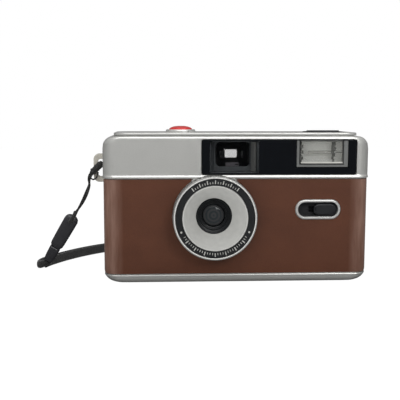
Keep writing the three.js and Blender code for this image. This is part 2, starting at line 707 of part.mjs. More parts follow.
function strapLug() {
  const loop = alongY(lugOutline(0), LUG.y - 1.3, LUG.y + 1.3, 2);
  const hole = alongY(rounded(-61.7, -50, 46.1, 53.5, 1.4), -3, 3, 1);
  const plate = box(-55.6, -50, -3, 3, 42, 60);
  return cut(loop, hole, plate).add(box(-55.8, -55.2, -2.4, 2.4, LUG.low + 0.6, 53));
}

// ---------------------------------------------------------------- wrist strap
const STRING_ROUTE = [
  [-59.9, -0.6, 51.2], [-60.6, -2, 49.9], [-62.3, -2.8, 48.6], [-64.4, -2.6, 47], [-65.4, -1, 44.8],
  [-65.6, 0.6, 41.8], [-66.8, 2, 38.6], [-68.9, 4, 34.2], [-71.2, 5.2, 30.4], [-73, 6, 27.9],
];
const SLIDER = { from: [-73.6, 6.3, 26.9], to: [-82.5, 10.7, 12.1] };
const SLEEVE = { from: [-82.7, 10.8, 11.8], to: [-86.4, 12.4, 5.4] };
const LOOP_ROUTE = [
  [-87, 12.5, 4.5], [-88.7, 13.1, 3.4], [-90.6, 14.2, 2.7], [-91.6, 16.4, 2.45], [-91, 19.4, 2.45],
  [-89.2, 24.2, 2.45], [-86.8, 29, 2.45], [-83.6, 35, 2.45], [-79.4, 41.6, 2.45], [-73.2, 49.8, 2.45],
  [-64.4, 58.6, 2.45], [-53, 65.6, 2.45], [-37, 70, 2.45], [-18, 71.6, 2.45], [0, 71, 2.45],
  [8.2, 67.4, 2.45], [11.4, 60, 2.45], [8.4, 52.6, 2.45], [0, 49, 2.45], [-14, 48.4, 2.45],
  [-28, 51.4, 2.45], [-40, 57.4, 2.45], [-51.6, 63.4, 2.45], [-62.8, 57, 2.45], [-71.4, 48.4, 2.45],
  [-77.6, 40.3, 2.45], [-81.7, 33.8, 2.45], [-84.8, 27.9, 2.45], [-87, 23.3, 2.45], [-88.5, 19, 2.45],
  [-88.5, 16.7, 2.6], [-87.5, 14.9, 3.5], [-85.9, 14.1, 4.9],
];

function vectors(route) {
  return route.map((point) => new THREE.Vector3(...point));
}

// Plain closed block between two points, its wide side facing the front.
function strapBlock({ from, to }, width0, width1, thickness) {
  const start = new THREE.Vector3(...from);
  const end = new THREE.Vector3(...to);
  const along = end.clone().sub(start);
  const length = along.length();
  along.normalize();
  const across = new THREE.Vector3(0, 1, 0).cross(along).normalize();
  const through = across.clone().cross(along).normalize();
  const shape = new THREE.Shape();
  const bevel = 1.6;
  shape.moveTo(-width0 / 2 + bevel, 0);
  shape.lineTo(width0 / 2 - bevel, 0);
  shape.lineTo(width0 / 2, bevel);
  shape.lineTo(width1 / 2, length);
  shape.lineTo(-width1 / 2, length);
  shape.lineTo(-width0 / 2, bevel);
  shape.closePath();
  const geometry = extruded(shape, thickness, 1);
  geometry.translate(0, 0, -thickness / 2);
  const place = new THREE.Matrix4().makeBasis(across, along, through);
  geometry.applyMatrix4(place.setPosition(start));
  return solid(geometry);
}

// Flat band on its edge: the section is turned so that its long side stands up on the floor.
function wristLoop() {
  const steps = 56;
  const path = new THREE.CatmullRomCurve3(vectors(LOOP_ROUTE), false, 'centripetal');
  const frames = path.computeFrenetFrames(steps, false);
  const middle = steps / 2;
  const up = Math.atan2(frames.binormals[middle].z, frames.normals[middle].z);
  const [halfWidth, halfThickness] = [2.3, 0.75];
  const corners = [[1, 0.45], [0.85, 1], [-0.85, 1], [-1, 0.45], [-1, -0.45], [-0.85, -1], [0.85, -1], [1, -0.45]];
  const turn = new THREE.Vector2();
  const section = new THREE.Shape(corners.map(([u, v]) => (
    turn.set(u * halfWidth, v * halfThickness).rotateAround(new THREE.Vector2(), up).clone()
  )));
  const geometry = new THREE.ExtrudeGeometry(section, { steps, extrudePath: path });
  return outward(mergeVertices(stripped(geometry), 1e-5));
}

// ---------------------------------------------------------------- finishes
function finish(color, roughness, metalness = 0) {
  return { color, roughness, metalness };
}

const SILVER = finish(0xaeaea8, 0.42, 0.35);
const BRIGHT = finish(0xc4c5c0, 0.3, 0.6);
const BLACK = finish(0x202326, 0.55);
const GLOSS_BLACK = finish(0x14181c, 0.1);
const BROWN = finish(0x5a3c32, 0.62);
const RED = finish(0xd8423f, 0.35);
const CREAM = finish(0xd9d5c8, 0.5);
const CLEAR = finish(0xdfe6e6, 0.05);
const WHITE = finish(0xd8d8d2, 0.5);
const STEEL = finish(0x9a9c9e, 0.3, 0.9);
const BRASS = finish(0xb08d4a, 0.35, 0.9);
const GREEN = finish(0x27603f, 0.6);
const STRAP = finish(0x232424, 0.8);
const ORANGE = finish(0xe07a28, 0.3);

const group = new THREE.Group();

function add(name, piece, { color, roughness, metalness }) {
  const mesh = piece.getMesh();
  const geometry = new THREE.BufferGeometry();
  geometry.setAttribute('position', new THREE.BufferAttribute(new Float32Array(mesh.vertProperties), 3));
  geometry.setIndex(new THREE.BufferAttribute(new Uint32Array(mesh.triVerts), 1));
  geometry.computeVertexNormals();
  const node = new THREE.Mesh(geometry, new THREE.MeshStandardMaterial({ color, roughness, metalness }));
  node.name = name;
  group.add(node);
}

// casing
add('front_shell', frontShell(), SILVER);
add('leatherette', leatherette(), BROWN);
add('top_plate', topPlate(), SILVER);
add('window_panel', windowPanel(), GLOSS_BLACK);
add('rear_cover', rearCover(), BLACK);
add('back_door', backDoor(), BLACK);
add('door_hinge_pin', rodZ(HINGE.x, HINGE.y, 0.45, HINGE.low + 1, HINGE.high - 1, 10), STEEL);
add('door_latch', doorLatch(), BLACK);
add('film_window', pane([38.5, 43.7, 16.3, 41.7], 15.5, 16.7, 0.7), CLEAR);
add('pressure_plate', box(-20.2, 13.8, 11.3, 12.1, 10.5, 47), BLACK);
add('pressure_spring', pressureSpring(), BRASS);
add('base_screw_left', baseScrew(SCREWS[0]), STEEL);
add('base_screw_right', baseScrew(SCREWS[1]), STEEL);
// film transport
add('chassis', chassis(), BLACK);
add('take_up_spool', takeUpSpool(), BLACK);
add('sprocket_shaft', sprocketShaft(), BLACK);
add('idler_gear', idlerGear(), WHITE);
add('advance_thumbwheel', advanceThumbwheel(), BLACK);
add('counter_dial', counterDial(), WHITE);
add('counter_window', rodZ(COUNTER_WINDOW.x, COUNTER_WINDOW.y, COUNTER_WINDOW.radius, 63.2, 66, 20), CLEAR);
add('rewind_release_button', rodZ(RELEASE.x, RELEASE.y, RELEASE.radius, 0.2, 3.6, 16), BLACK);
// top controls
add('shutter_button', buttonCap(), RED);
add('button_collar', buttonCollar(), BRIGHT);
add('button_spring', coil(BUTTON, 3.1, 0.2, 64.65, 65.7, 2), STEEL);
add('rewind_knob', rewindKnob(), BLACK);
add('rewind_crank', rewindCrank(), BLACK);
add('crank_grip', crankGrip(), BLACK);
add('rewind_fork', rewindFork(), BLACK);
add('rewind_bush', rewindBush(), STEEL);
// viewfinder
add('finder_window', pane([-11.7, 9.1, 48.7, 62], -16.7, -15.9, 0.3), CLEAR);
add('finder_front_lens', pane([-8.6, 6, 48.8, 61.7], -6.6, -5.2, 1.5), CLEAR);
add('finder_tunnel', finderTunnel(), BLACK);
add('finder_eyepiece', pane([-3, 2.6, 53.7, 57.2], 13, 14.4, 0.3), CLEAR);
// flash
add('flash_frame', flashFrame(), STEEL);
add('flash_fresnel', flashFresnel(), CLEAR);
add('flash_reflector', flashReflector(), BRIGHT);
add('flash_tube', rodX(-13.1, 57.2, 0.75, 31.5, 42.9, 10), CLEAR);
add('flash_capacitor', rodZ(5.8, -3.9, 4.2, 8, 42, 20), BLACK);
add('circuit_board', circuitBoard(), GREEN);
add('ready_lamp', rodY(8, 56, 1.2, 14.9, BACK + 0.3, 12), ORANGE);
add('battery_door', batteryDoor(), SILVER);
add('battery_contact', batteryContact(), BRASS);
add('battery_spring', coil(BATTERY, 2.6, 0.25, 1.6, 4, 2), STEEL);
// flash switch
add('flash_switch_bezel', flashSwitchBezel(), BRIGHT);
add('flash_switch_track', flashSwitchTrack(), BLACK);
add('flash_switch_knob', flashSwitchKnob(), BLACK);
// lens and shutter
add('lens_barrel', lensBarrel(), BRIGHT);
add('legend_ring', legendRing(), BLACK);
add('lens_cone', lensCone(), BRIGHT);
add('lens_cell', lensCell(), BLACK);
add('front_lens_element', frontLens(), CLEAR);
add('rear_lens_element', rearLens(), CLEAR);
add('shutter_plate', shutterPlate(), STEEL);
add('shutter_blade', shutterBlade(), BLACK);
add('shutter_spring', coil({ x: -22.4, y: -7.1 }, 0.65, 0.2, 20, 27, 5, 6), STEEL);
// strap
add('strap_lug', strapLug(), CREAM);
add('strap_string', swept(vectors(STRING_ROUTE), roundSection(1.1, 8), 16), STRAP);
add('strap_slider', strapBlock(SLIDER, 6.6, 6.2, 4), STRAP);
add('strap_sleeve', strapBlock(SLEEVE, 5.6, 5, 4.4), STRAP);
add('wrist_loop', wristLoop(), STRAP);

export default group;
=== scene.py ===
import contextlib
import json
import math

import bmesh
import bpy
from mathutils import Matrix, Vector


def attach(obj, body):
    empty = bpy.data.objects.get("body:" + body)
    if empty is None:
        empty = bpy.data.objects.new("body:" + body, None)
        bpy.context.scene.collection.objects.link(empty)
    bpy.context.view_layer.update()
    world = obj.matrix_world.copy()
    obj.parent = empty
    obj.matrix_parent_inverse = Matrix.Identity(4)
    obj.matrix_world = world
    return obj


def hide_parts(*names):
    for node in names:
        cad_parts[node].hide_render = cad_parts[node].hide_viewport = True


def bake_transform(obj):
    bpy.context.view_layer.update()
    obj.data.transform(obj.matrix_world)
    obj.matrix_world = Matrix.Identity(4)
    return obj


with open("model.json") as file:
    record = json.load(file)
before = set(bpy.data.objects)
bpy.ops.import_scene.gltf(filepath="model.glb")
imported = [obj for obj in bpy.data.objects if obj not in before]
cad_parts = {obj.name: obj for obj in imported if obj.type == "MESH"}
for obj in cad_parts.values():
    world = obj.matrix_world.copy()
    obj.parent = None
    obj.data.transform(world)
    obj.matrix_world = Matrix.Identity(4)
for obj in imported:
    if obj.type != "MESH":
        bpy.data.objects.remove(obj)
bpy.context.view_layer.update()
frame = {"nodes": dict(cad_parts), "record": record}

MM = 0.001
BODY_OF = {n: b for b, members in frame["record"]["behaviour"]["bodies"].items() for n in members}
SLOT_OF = {s["node"]: s["material_slot"] for s in frame["record"]["subparts"]}

# ---- sizes, in millimetres
SIDE, FRONT, BACK, HEIGHT, SPLIT = 58.5, -17.0, 17.0, 64.4, 9.0
BAND_LOW, BAND_HIGH, SKIN = 3.9, 46.1, 1.05
PLATE_TOP = 65.85
LENS = (-10.0, 29.5)
SPOOL, REWIND, BUTTON = (-42.0, 5.0), (41.1, 2.0), (-24.2, -2.0)
COUNTER_WINDOW, RELEASE = (17.0, -5.0), (-25.5, -6.0)
SCREWS = ((-50.5, -5.5), (52.5, -9.5))
HINGE = (-58.0, 10.6)
KNOB_HOLE = 9.7
CORNER, SHARP = 5.5, 0.02  # plan corners: the body's, and one that reads as sharp
SIDE_ROUNDS, FRONT_ROUNDS, BACK_ROUNDS = (6, 5), (3, 1.2), (3, 3)  # at the base and at the top
CRANK_HINGE = (34.6, 65.6)
SWITCH = (35.6, 32.4)

# ---- camera
CAMERA_AT = Vector((-0.0330, -0.3328, 0.0737))
YAW, PITCH, ROLL = (math.radians(a) for a in (3.04, 6.654, 0.083))
FOCAL, FILM_WIDTH = 66.0, 36.0


def linked(data, name="form"):
    """A new object with this data, in the scene."""
    obj = bpy.data.objects.new(name, data)
    bpy.context.scene.collection.objects.link(obj)
    return obj


def make_camera():
    forward = Vector((math.sin(YAW) * math.cos(PITCH), math.cos(YAW) * math.cos(PITCH), -math.sin(PITCH)))
    right = Vector((math.cos(YAW), -math.sin(YAW), 0))
    up = right.cross(forward)
    turned_right = right * math.cos(ROLL) + up * math.sin(ROLL)
    turned_up = up * math.cos(ROLL) - right * math.sin(ROLL)
    matrix = Matrix((turned_right, turned_up, -forward)).transposed().to_4x4()
    matrix.translation = CAMERA_AT
    camera = linked(bpy.data.cameras.new("camera"), "camera")
    camera.matrix_world = matrix
    camera.data.lens, camera.data.sensor_width = FOCAL, FILM_WIDTH
    camera.data.clip_start, camera.data.clip_end = 0.01, 20
    bpy.context.scene.camera = camera


make_camera()


# ---- materials
class Nodes:
    """The node tree of a new material or world, with short calls for the nodes used here."""

    def __init__(self, name="look", world=False):
        self.owner = (bpy.data.worlds if world else bpy.data.materials).new(name)
        self.owner.use_nodes = True
        self.tree = self.owner.node_tree
        self.shader = self.tree.nodes["Background" if world else "Principled BSDF"]
        self.place = self.node("TexCoord").outputs
        self.where = self.place["Object"]

    def link(self, a, b):
        self.tree.links.new(a, b)

    def feed(self, socket, value):
        """Links another node's output to the socket, or sets the socket's own value."""
        if isinstance(value, bpy.types.NodeSocket):
            self.link(value, socket)
        else:
            socket.default_value = (*value, 1) if socket.type == "RGBA" else value

    def node(self, kind, inputs=None, **settings):
        """Adds a node: settings are its own properties, inputs are values or links for its sockets."""
        node = self.tree.nodes.new("ShaderNode" + kind)
        for key, value in settings.items():
            setattr(node, key, value)
        for key, value in (inputs or {}).items():
            self.feed(node.inputs[key], value)
        return node

    def mapped(self, **inputs):
        """The object's own place, scaled or moved."""
        return self.node("Mapping", {"Vector": self.where, **inputs}).outputs["Vector"]

    def axis(self, letter):
        return self.node("SeparateXYZ", {"Vector": self.where}).outputs[letter]

    def noise(self, per_metre, detail=3, stretch=(1, 1, 1)):
        inputs = {"Scale": per_metre, "Detail": detail, "Roughness": 0.55, "Vector": self.mapped(Scale=stretch)}
        return self.node("TexNoise", inputs).outputs["Fac"]

    def cells(self, per_metre, stretch=(1, 1, 1), feature="DISTANCE_TO_EDGE"):
        inputs = {"Scale": per_metre, "Vector": self.mapped(Scale=stretch)}
        return self.node("TexVoronoi", inputs, feature=feature).outputs["Distance"]

    def ramp(self, value, stops):
        node = self.node("ValToRGB", {"Fac": value})
        first, last = node.color_ramp.elements
        for element, (at, colour) in ((first, stops[0]), (last, stops[-1])):
            element.position, element.color = at, (*colour, 1)
        for at, colour in stops[1:-1]:
            node.color_ramp.elements.new(at).color = (*colour, 1)
        return node.outputs["Color"]

    def span(self, value, low, high, start=0.0, end=1.0):
        inputs = {"Value": value, "From Min": start, "From Max": end, "To Min": low, "To Max": high}
        return self.node("MapRange", inputs).outputs["Result"]

    def bump(self, value, height_mm, strength=1.0, under=None):
        inputs = {"Height": value, "Distance": height_mm * MM, "Strength": strength}
        if under is not None:
            inputs["Normal"] = under
        return self.node("Bump", inputs).outputs["Normal"]

    def maths(self, operation, *values):
        return self.node("Math", dict(enumerate(values)), operation=operation).outputs[0]

    def mix(self, factor, a, b, blend="MIX"):
        inputs = {"Factor": factor, "A": a, "B": b}
        return self.node("Mix", inputs, data_type="RGBA", blend_type=blend).outputs["Result"]

    def mix_shader(self, factor, first, second):
        return self.node("MixShader", {0: factor, 1: first, 2: second}).outputs[0]

    def set(self, **values):
        for key, value in values.items():
            self.feed(self.shader.inputs[key.replace("_", " ")], value)
        return self.owner


def shade(colour, factor):
    return tuple(min(c * factor, 1) for c in colour)


def moulded(colour, rough=0.5, grain=1200, grain_mm=0.02, spread=0.12, coat=0.0):
    """Moulded or painted part: fine surface grain, slight tone and gloss changes."""
    m = Nodes()
    colours = m.ramp(m.noise(90, 4), [(0.3, shade(colour, 1 - spread)), (0.7, shade(colour, 1 + spread))])
    gloss = m.span(m.noise(260, 5), rough * 0.86, rough * 1.16, 0.3, 0.7)
    return m.set(Base_Color=colours, Roughness=gloss, Coat_Weight=coat, Coat_Roughness=0.12,
                 Normal=m.bump(m.noise(grain, 4), grain_mm, 0.5))


def silver_paint(colour, rough, metallic):
    """Metallic paint: tiny flakes that change tone and gloss, over a faint orange peel."""
    m = Nodes()
    flakes = m.cells(5200, feature="F1")
    peel = m.noise(900, 2)
    colours = m.ramp(flakes, [(0.1, shade(colour, 1.06)), (0.5, colour), (0.9, shade(colour, 0.92))])
    gloss = m.span(m.noise(320, 4), rough * 0.88, rough * 1.14, 0.3, 0.7)
    return m.set(Base_Color=colours, Roughness=gloss, Metallic=metallic, Coat_Weight=0.25, Coat_Roughness=0.16,
                 Normal=m.bump(flakes, 0.004, 0.35, m.bump(peel, 0.010, 0.5)))


def leatherette():
    """Embossed covering: pebbled grain drawn out sideways, dark creases, and a painted sheen, pale in streaks at
    the front corners.
    """
    m = Nodes()
    brown, painted_sheen_brown = (0.114, 0.0360, 0.0152), (0.285, 0.163, 0.122)
    pebbles = m.cells(2300, (0.62, 1, 1.1))
    wander = m.noise(1500, 4, (0.4, 1, 1.3))
    tone = m.ramp(m.noise(60, 3, (0.7, 1, 1)), [(0.3, shade(brown, 0.9)), (0.7, shade(brown, 1.12))])
    crease = m.ramp(pebbles, [(0.0, (0.74, 0.70, 0.68)), (0.16, (1, 1, 1))])
    grained = m.mix(0.8, tone, crease, "MULTIPLY")
    # Painted sheen: pale brown in streaks at the front side corners, standing for the grazing reflection of the
    # bright surroundings.
    near_side = m.span(m.maths("ABSOLUTE", m.axis("X")), 0, 1, 0.0495, 0.0545)
    near_front = m.span(m.axis("Y"), 1, 0.1, -0.0135, -0.0100)
    streaks = m.span(m.noise(420, 3, (1, 1, 0.12)), 0.40, 1, 0.35, 0.7)
    painted_sheen_mask = m.maths("MULTIPLY", m.maths("MULTIPLY", near_side, near_front), streaks)
    return m.set(Base_Color=m.mix(painted_sheen_mask, grained, painted_sheen_brown), Roughness=m.span(wander, 0.40, 0.56, 0.3, 0.7),
                 Specular_IOR_Level=0.4, Sheen_Weight=0.30, Sheen_Roughness=0.35,
                 Normal=m.bump(pebbles, 0.05, 0.55, m.bump(wander, 0.05, 0.45)))


def brushed(colour, rough, stretch, height=0.006):
    """Metal with a drawn grain along one direction."""
    m = Nodes()
    lines = m.noise(2600, 3, stretch)
    colours = m.ramp(m.noise(150, 4), [(0.3, shade(colour, 0.9)), (0.7, shade(colour, 1.08))])
    gloss = m.span(lines, rough * 0.8, rough * 1.25, 0.3, 0.7)
    return m.set(Base_Color=colours, Metallic=1.0, Roughness=gloss, Normal=m.bump(lines, height, 0.5))


def clear_plastic(colour, alpha, rough=0.03):
    """Clear moulding, shown as a see-through coat so that light reaches what is behind it."""
    m = Nodes()
    haze = m.span(m.noise(700, 4), rough, rough * 2.4, 0.35, 0.75)
    m.owner.surface_render_method = "BLENDED"
    tone = m.ramp(m.noise(120, 3), [(0.3, shade(colour, 0.94)), (0.7, shade(colour, 1.04))])
    return m.set(Base_Color=tone, Roughness=haze, Alpha=alpha, IOR=1.49, Specular_IOR_Level=0.6)


def braid(colour):
    """Woven cord or band: crossing strands with fibre fuzz."""
    m = Nodes()
    strands = m.cells(1500, feature="F1")
    fibres = m.noise(5200, 4)
    colours = m.ramp(strands, [(0.05, shade(colour, 1.5)), (0.6, colour), (1.0, shade(colour, 0.4))])
    return m.set(Base_Color=colours, Roughness=m.span(fibres, 0.62, 0.9, 0.3, 0.7), Sheen_Weight=0.35,
                 Sheen_Roughness=0.5, Normal=m.bump(strands, 0.14, 0.7, m.bump(fibres, 0.03, 0.5)))


def lens_rings(m, scale):
    """Even rings round the lens axis, as a factor."""
    inputs = {"Scale": scale, "Distortion": 0.3, "Vector": m.mapped(Location=(-LENS[0] * MM, 0, -LENS[1] * MM))}
    return m.node("TexWave", inputs, wave_type="RINGS", rings_direction="Y").outputs["Fac"]


def dish_finish():
    """Satin silver dish with very fine turned grooves round the lens axis."""
    m = Nodes()
    colour = (0.585, 0.585, 0.56)
    grooves = lens_rings(m, 900)
    tone = m.ramp(m.noise(400, 4), [(0.3, shade(colour, 0.95)), (0.7, shade(colour, 1.05))])
    return m.set(Base_Color=tone, Specular_IOR_Level=0.25, Roughness=m.span(grooves, 0.50, 0.62),
                 Normal=m.bump(grooves, 0.006, 0.4))


def lens_glass():
    """Coated glass over a dark inside: nearly black, with faint lighter rings painted into its colour as painted
    light for the cell's rings seen through it.
    """
    m = Nodes()
    # Painted light: lighter rings in the glass colour stand for the lit rings of the cell behind it.
    glass_with_painted_rings = m.ramp(lens_rings(m, 190), [(0.25, (0.031, 0.036, 0.039)), (0.75, (0.050, 0.051, 0.053))])
    return m.set(Base_Color=glass_with_painted_rings, Roughness=m.span(m.noise(900, 2), 0.02, 0.06), IOR=1.3, Coat_Weight=0.1,
                 Coat_Roughness=0.03)


def ribbed_plastic():
    """Flash window: painted shade and painted highlight in bands across it, darker at the foot of each rib, where
    it bends the light away.
    """
    m = Nodes()
    m.owner.surface_render_method = "BLENDED"
    inputs = {"Scale": 190, "Distortion": 0.6, "Vector": m.where}
    # Painted shade and highlight: lighter and darker bands across the ribs.
    painted_rib_bands = m.node("TexWave", inputs, bands_direction="Z").outputs["Fac"]
    tone = m.ramp(painted_rib_bands, [(0.15, (0.40, 0.405, 0.365)), (0.85, (0.60, 0.605, 0.56))])
    return m.set(Base_Color=tone, Roughness=m.span(m.noise(700, 4), 0.1, 0.2), Alpha=0.15, IOR=1.49)


MATERIALS = {
    "silver_shell": silver_paint((0.70, 0.70, 0.67), 0.36, 0.50),
    "silver_trim": silver_paint((0.82, 0.82, 0.79), 0.30, 0.5),
    "covering": leatherette(),
    "gloss_black": moulded((0.0042, 0.0055, 0.0078), 0.10, 500, 0.003, coat=0.3),
    "black_plastic": moulded((0.012, 0.013, 0.0145), 0.46, 2100, 0.045),
    "dark_inner": moulded((0.0085, 0.009, 0.0095), 0.62, 1600, 0.03),
    "clear": clear_plastic((0.62, 0.66, 0.66), 0.10),
    "steel": brushed((0.56, 0.56, 0.57), 0.3, (1, 1, 0.06)),
    "mirror_metal": brushed((0.80, 0.80, 0.78), 0.14, (0.08, 1, 1), height=0.003),
    "brass": brushed((0.62, 0.44, 0.17), 0.28, (1, 0.06, 1)),
    "board": moulded((0.018, 0.11, 0.045), 0.32, 700, 0.02, coat=0.5, spread=0.3),
    "white_plastic": moulded((0.70, 0.70, 0.67), 0.42, 900, 0.01),
    "red_button": moulded((0.80, 0.017, 0.014), 0.32, 900, 0.008, coat=0.35, spread=0.06),
    "cream": moulded((0.66, 0.63, 0.55), 0.38, 900, 0.012, spread=0.05),
    "orange": moulded((0.78, 0.24, 0.03), 0.18, 500, 0.006, coat=0.5),
    "capacitor_sleeve": moulded((0.014, 0.016, 0.028), 0.22, 400, 0.02, coat=0.4),
    "barrel": silver_paint((0.36, 0.36, 0.345), 0.45, 0.35),
    "well": moulded((0.0105, 0.012, 0.0135), 0.34, 1600, 0.012),
    "window_clear": clear_plastic((0.010, 0.012, 0.014), 0.05),
    "eyepiece_clear": clear_plastic((0.80, 0.81, 0.77), 0.22),
    "reflector": moulded((0.66, 0.665, 0.63), 0.4, 900, 0.004),
    "tube_glass": clear_plastic((0.5, 0.5, 0.46), 0.35),
    "rim_bright": silver_paint((0.93, 0.93, 0.90), 0.34, 0.25),
    "rim_white": moulded((0.62, 0.62, 0.57), 0.4, 900, 0.01),
    "finder_wall": moulded((0.072, 0.079, 0.084), 0.32, 1500, 0.02),
    "finder_band": moulded((0.050, 0.053, 0.056), 0.5, 1500, 0.02),
    "finder_light_patch": moulded((0.16, 0.15, 0.165), 0.5, 1500, 0.02),
    "flash_rim": moulded((0.175, 0.18, 0.175), 0.3, 1200, 0.01),
    "mark_white": moulded((0.50, 0.50, 0.47), 0.5, 1500, 0.004),
    "strap_cord": braid((0.016, 0.016, 0.0155)),
    "strap_moulding": moulded((0.040, 0.040, 0.0445), 0.40, 1500, 0.05, spread=0.2),
    "ribbed_clear": ribbed_plastic(),
    "dish": dish_finish(),
    "lens_glass": lens_glass(),
}
for key, material in MATERIALS.items():
    material.name = key


# ---- mesh building, in millimetres
AXES = {"x": lambda u, v, a: (a, u, v), "y": lambda u, v, a: (u, a, v), "z": lambda u, v, a: (u, v, a)}


@contextlib.contextmanager
def opened(mesh):
    """The mesh as a bmesh, written back at the end."""
    built = bmesh.new()
    built.from_mesh(mesh)
    yield built
    built.to_mesh(mesh)
    built.free()


def mesh_object(points, faces):
    mesh = bpy.data.meshes.new("form")
    mesh.from_pydata([Vector(p) * MM for p in points], [], faces)
    with opened(mesh) as built:
        bmesh.ops.remove_doubles(built, verts=built.verts, dist=1e-7)
        bmesh.ops.recalc_face_normals(built, faces=built.faces)
    return linked(mesh)


def join_meshes(objects):
    """One object from several separate closed meshes."""
    mesh = bpy.data.meshes.new("form")
    with opened(mesh) as built:
        for obj in objects:
            built.from_mesh(obj.data)
            bpy.data.objects.remove(obj)
    return linked(mesh)


def loft(rings, closed=False):
    """Skins a list of equal rings. An open loft is capped flat; a closed one joins last ring to first."""
    count = len(rings[0])
    points = [p for ring in rings for p in ring]
    faces = []
    for i in range(len(rings) if closed else len(rings) - 1):
        a, b = i * count, ((i + 1) % len(rings)) * count
        faces += [(a + j, a + (j + 1) % count, b + (j + 1) % count, b + j) for j in range(count)]
    if not closed:
        faces += [tuple(range(count)), tuple(range(len(points) - count, len(points)))]
    return mesh_object(points, faces)


def round_rect(x0, x1, y0, y1, radii, steps=8):
    """Corner order: low left, low right, high right, high left."""
    a, b, c, d = radii if isinstance(radii, (tuple, list)) else (radii,) * 4
    corners = (
        (x0 + a, y0 + a, a, 180), (x1 - b, y0 + b, b, 270), (x1 - c, y1 - c, c, 0), (x0 + d, y1 - d, d, 90),
    )
    ring = []
    for cx, cy, r, start in corners:
        for i in range(steps + 1):
            t = math.radians(start + 90 * i / steps)
            ring.append((cx + r * math.cos(t), cy + r * math.sin(t)))
    return ring


def pad(x0, x1, y0, y1, radius, a0, a1, axis="y", edge=0.3, ends=(True, True), steps=8, edge_steps=4):
    """Slab with a rounded outline and rounded rims, between a0 and a1 along axis."""
    arc = [math.radians(90 * i / edge_steps) for i in range(edge_steps + 1)]
    rims = [(edge * (1 - math.sin(t)), edge * (1 - math.cos(t))) for t in arc]
    low = [(inset, a0 + rise) for inset, rise in rims] if ends[0] else [(0, a0)]
    high = [(inset, a1 - rise) for inset, rise in reversed(rims)] if ends[1] else [(0, a1)]
    rings = []
    for inset, at in low + high:
        outline = round_rect(x0 + inset, x1 - inset, y0 + inset, y1 - inset, max(radius - inset, SHARP), steps)
        rings.append([AXES[axis](u, v, at) for u, v in outline])
    return loft(rings)


def block(x0, x1, y0, y1, z0, z1):
    return pad(x0, x1, y0, y1, SHARP, z0, z1, "z", ends=(False, False), steps=1)


def hole(x0, x1, z0, z1, radius, y0, y1, steps=8):
    """Cutting tool through the front or the back, with a rounded outline."""
    return pad(x0, x1, z0, z1, radius, y0, y1, ends=(False, False), steps=steps)


def taper(near, y0, far, y1):
    """Four-sided form whose near and far faces differ: each is (x0, x1, z0, z1)."""
    rings = [[(u, y, v) for u, v in round_rect(*face, SHARP, 1)] for face, y in ((near, y0), (far, y1))]
    return loft(rings)


def softened(profile, radius, steps=3):
    """Rounds the corners of a closed (radius, height) outline."""
    out = []
    count = len(profile)
    for i, (r, h) in enumerate(profile):
        before, after = Vector(profile[i - 1]), Vector(profile[(i + 1) % count])
        here = Vector((r, h))
        if r < 1e-6:
            out.append((r, h))
            continue
        to_before, to_after = before - here, after - here
        reach = min(radius, to_before.length * 0.45, to_after.length * 0.45)
        start = here + to_before.normalized() * reach
        end = here + to_after.normalized() * reach
        for k in range(steps + 1):
            t = k / steps
            point = start * (1 - t) ** 2 + here * 2 * t * (1 - t) + end * t * t
            out.append((max(point.x, 0), point.y))
    return out


def lathe(profile, centre, axis="y", steps=96, soft=0.12, wobble=None):
    """Turns a closed outline. wobble(angle, r, h) may move the radius, for knurls."""
    outline = softened(profile, soft) if soft else profile
    place = AXES[axis]
    rings = []
    for t in (2 * math.pi * i / steps for i in range(steps)):
        turned = [(r + (wobble(t, r, h) if wobble else 0), h) for r, h in outline]
        rings.append([place(centre[0] + r * math.cos(t), centre[1] + r * math.sin(t), h) for r, h in turned])
    return loft(rings, closed=True)


def circle(radius, sides):
    return [(radius * math.cos(t), radius * math.sin(t)) for t in (2 * math.pi * k / sides for k in range(sides))]


def rod(centre, radius, a0, a1, axis="z", steps=48):
    x, y = centre
    return loft([[AXES[axis](x + u, y + v, at) for u, v in circle(radius, steps)] for at in (a0, a1)])


def baked(obj):
    """Applies every modifier."""
    bpy.context.view_layer.update()
    graph = bpy.context.evaluated_depsgraph_get()
    mesh = bpy.data.meshes.new_from_object(obj.evaluated_get(graph))
    obj.modifiers.clear()
    old, obj.data = obj.data, mesh
    bpy.data.meshes.remove(old)
    return obj


def combine(obj, operation, tools, solver="EXACT"):
    for tool in tools:
        modifier = obj.modifiers.new("combine", "BOOLEAN")
        modifier.operation, modifier.solver, modifier.object = operation, solver, tool
    baked(obj)
    for tool in tools:
        bpy.data.objects.remove(tool)
    return obj


def cut(obj, *tools):
    return combine(obj, "DIFFERENCE", tools)


def join(obj, *tools):
    return combine(obj, "UNION", tools)


def rounded_edges(obj, width, segments=2, angle=38):
    modifier = obj.modifiers.new("edges", "BEVEL")
    modifier.width, modifier.segments = width * MM, segments
    modifier.limit_method, modifier.angle_limit = "ANGLE", math.radians(angle)
    return baked(obj)


def paint(obj, key):
    obj.data.materials.clear()
    obj.data.materials.append(MATERIALS[key])


def finished(obj, name, node, material, angle, weighted=True):
    """Names, shades and paints a piece, and puts it on the node's body."""
    obj.name = obj.data.name = name
    obj.data.shade_smooth()
    obj.data.set_sharp_from_angle(angle=math.radians(angle))
    if weighted:
        obj.modifiers.new("normals", "WEIGHTED_NORMAL").keep_sharp = True
        baked(obj)
    paint(obj, material or SLOT_OF[node])
    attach(obj, BODY_OF[node])
    return obj


def stands_for(obj, node, material=None, angle=32, weighted=True, name=None):
    """obj replaces this CAD node and rides on its body; without a material given, it is painted with the material
    named by the node's slot.
    """
    finished(obj, name or node + "_form", node, material, angle, weighted)
    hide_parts(node)
    return obj


def adds_to(obj, name, node, material=None, angle=32):
    """obj is a detail that goes with a CAD node."""
    return finished(obj, name, node, material, angle)


